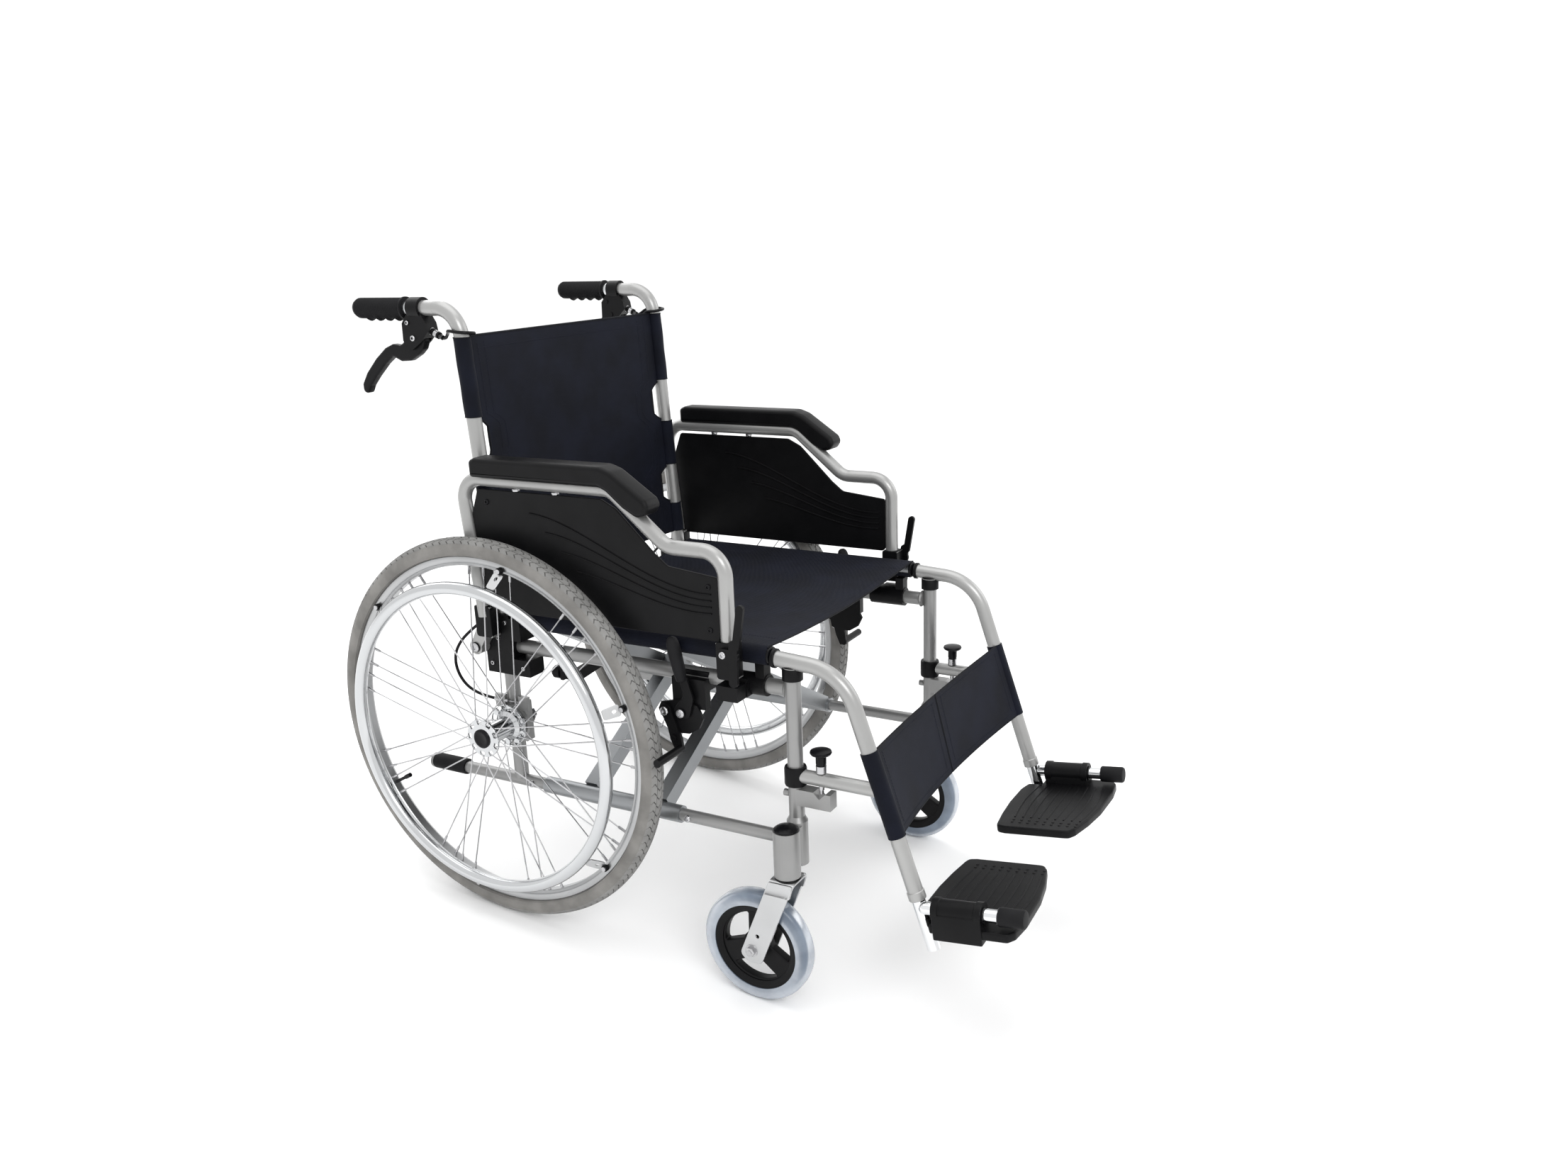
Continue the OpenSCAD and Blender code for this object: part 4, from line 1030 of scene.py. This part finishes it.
def footrest(tag, side):
    add = partial(piece, tag, side, "footplate")
    loop = corners(PLATE_OUTLINE, PLATE_RADII)
    v, f = plate(loop, 13, bevel=3.0, steps=3)
    board = (foot_points(np.stack([v[:, 0], v[:, 2] - 30, v[:, 1]], 1)), f)
    ribs = []
    for k in range(9):
        along = 8 + 13 * k
        line = []
        for t in np.linspace(0, 1, 20):
            x = -20 - 132 * t
            bow = (along - 56) * (1 + 0.12 * math.sin(math.pi * t)) + 56
            line.append(foot_point(x, -16.95, bow))
        ribs.append(sweep(line, oval(1.7, 0.9, 8)))
        for d in (162, 171):
            dot = [foot_point(-d, up, (along - 56) * 0.97 + 56) for up in (-17.2, -16.1)]
            ribs.append(sweep(dot, lambda i: circle((2.6, 1.9)[i], 12)))
    barrel = [(14, 14.5), (14, 16.8), (17, 17), (23, 17), (24, 15.6), (74, 15.6), (75, 17), (81, 17),
              (84, 16.8), (84, 14.5)]
    axis = foot_point(0, 0, 1) - foot_point(0, 0, 0)
    shell = lathe(barrel, foot_point(0, 0, 0), axis, 48)
    cheek_loop = corners([(-15, 14), (17, 14), (17, 84), (-15, 84)], 2, 3)
    cv, cf = plate(cheek_loop, 38, bevel=1.6)
    cheek = (foot_points(np.stack([cv[:, 0], cv[:, 2] - 38, cv[:, 1]], 1)), cf)
    add("foot_board", join([board, *ribs, shell, cheek]), BLACK, smooth=35, replaces="footplate")
    bung = [(105.5, 9.2), (105.5, 12.3), (107, 12.9), (139.2, 12.9), (141.6, 11.4), (142.2, 8),
            (142.2, 0)]
    add("foot_bung", lathe(bung, foot_point(0, 0, 0), axis, 36), GRIP_RUBBER, on="foot_tube")
    collar = [(HANG_X, *down(s)) for s in (-13, -12, -1, 0)]
    ring = sweep(collar, lambda i: circle(TUBE_R + (0.2, 1.3, 1.3, 0.4)[i], 32))
    add("hanger_collar", ring, LIGHT_TUBE, on="hanger")
    knob = [(322, 6.5), (325, 7.4), (336, 7.4), (337, 10), (339, 14), (341.5, 15.4), (343.6, 14.6),
            (344.6, 11), (344.9, 0)]
    pin = (242, -529, 0)
    stem = [(280, 2.9), (286, 3), (286.2, 3.9), (311.7, 3.9), (311.8, 7.4), (322, 7.4)]
    add("pull_knob", lathe(knob, pin, (0, 0, 1), 40), GLOSS_BLACK, on="knob", replaces="hanger_knob")
    add("pull_stem", lathe(stem, pin, (0, 0, 1), 28), STEEL, on="knob")
    cap = [(440.9, 13.6), (440.9, 14.4), (457, 14.4), (460, 12.2), (460, 11)]
    stop = [(-466.6, 0), (-466.6, 12.6), (-465.6, 13.5), (-461.8, 13.5), (-461.2, 12.4), (-461.2, 0)]
    hook = [lathe(cap, POST, (0, 0, 1), 40), lathe(stop, (HANG_X, 0, 468.2), (0, 1, 0), 36)]
    add("hanger_hook", join(hook), BLACK, on="hanger", slot="bright_tube")
    band = lathe([(286.6, 11.4), (286.6, 15.2), (289, 15.9), (311, 15.9), (313.8, 15), (313.8, 11.4)],
                 POST, (0, 0, 1), 40, True)
    add("post_ring", band, BLACK, on="hanger", slot="bright_tube")


# -------------------- wheel locks
def wheel_lock(tag, side):
    add = partial(piece, tag, side, "lock_lever")
    outline = [(-333, 366), (-312, 364), (-309, 380), (-326, 400), (-320, 428), (-332, 430),
               (-342, 398)]
    loop = corners(outline, [11, 10, 8, 12, 3, 3, 12])
    arm = side_plate(261.4, loop, 4.8, holes=[circle(4.3, 20, (-321, 374))], bevel=0.9)
    a, b = np.array([266.8, -325, 426.0]), np.array([266.8, -314, 478.0])
    u = (b - a) / np.linalg.norm(b - a)
    profile = [(-3, 6), (-2, 7.2), (4, 8.2), (14, 9.0), (30, 9.5), (46, 9.5), (54, 8.8), (59, 7),
               (61.6, 4), (62.4, 0)]
    grip = lathe(profile, a, u, 28)
    add("lock_handle", arm, BLACK, replaces="lock_lever")
    add("lock_grip", grip, GRIP_RUBBER, smooth=50)


for tag, side in SIDES:
    for part in (wheel, caster, frame_trim, push_grip, brake, cable, calf, armrest, footrest,
                 wheel_lock):
        part(tag, side)
seat()
back()

# -------------------- floor, light and camera
floor_mesh = bpy.data.meshes.new("floor")
REACH = 60.0
floor_corners = [(-REACH, -REACH, 0), (REACH, -REACH, 0), (REACH, REACH, 0), (-REACH, REACH, 0)]
floor_mesh.from_pydata(floor_corners, [], [(0, 1, 2, 3)])
floor = bpy.data.objects.new("floor", floor_mesh)
bpy.context.scene.collection.objects.link(floor)
pale = Nodes("pale_floor", (0.95, 0.95, 0.95), 0.9, Specular_IOR_Level=0.1)
pale.vary_rough(pale.noise(3, 2), "Fac", 0.85, 0.95)
floor_mesh.materials.append(pale.mat)


def area(name, place, aim, size, power):
    data = bpy.data.lights.new(name, "AREA")
    data.shape = "RECTANGLE"
    data.size, data.size_y = size
    data.energy = power
    obj = bpy.data.objects.new(name, data)
    bpy.context.scene.collection.objects.link(obj)
    obj.location = place
    obj.rotation_euler = (Vector(aim) - Vector(place)).to_track_quat("-Z", "Y").to_euler()


area("key", (-2.6, -2.6, 3.4), (0, 0, 0.4), (2.2, 1.6), 58)
area("fill", (2.8, -2.2, 2.4), (0, 0, 0.5), (2.4, 2.2), 22)
area("top", (0.0, 0.6, 3.8), (0, 0, 0.3), (3.2, 3.2), 42)
area("back", (1.2, 3.2, 2.6), (0, 0, 0.6), (3.0, 1.8), 30)
world = bpy.data.worlds.new("studio")
bpy.context.scene.world = world
world.use_nodes = True
sky = world.node_tree.nodes["Background"]
sky.inputs["Color"].default_value = (1.0, 1.0, 1.0, 1)
sky.inputs["Strength"].default_value = 1.1

IMAGE_W = 2212
FOCAL_PX = 1756.3
camera_data = bpy.data.cameras.new("camera")
camera = bpy.data.objects.new("camera", camera_data)
bpy.context.scene.collection.objects.link(camera)
camera_data.sensor_width = 36.0
camera_data.lens = 36.0 * FOCAL_PX / IMAGE_W
camera_data.shift_x = -0.0060
camera_data.shift_y = 0.0333
camera_data.clip_end = 200
AZIMUTH, DROP, ROLL = math.radians(62.681), math.radians(20.786), math.radians(3.191)
look = Vector((math.sin(AZIMUTH) * math.cos(DROP), math.cos(AZIMUTH) * math.cos(DROP),
               -math.sin(DROP)))
camera.location = (-1.62024, -0.91838, 1.1318)
camera.rotation_mode = "QUATERNION"
roll = Matrix.Rotation(ROLL, 4, "Z").to_quaternion()
camera.rotation_quaternion = look.to_track_quat("-Z", "Y") @ roll
bpy.context.scene.camera = camera
bpy.context.scene.view_settings.view_transform = "Standard"
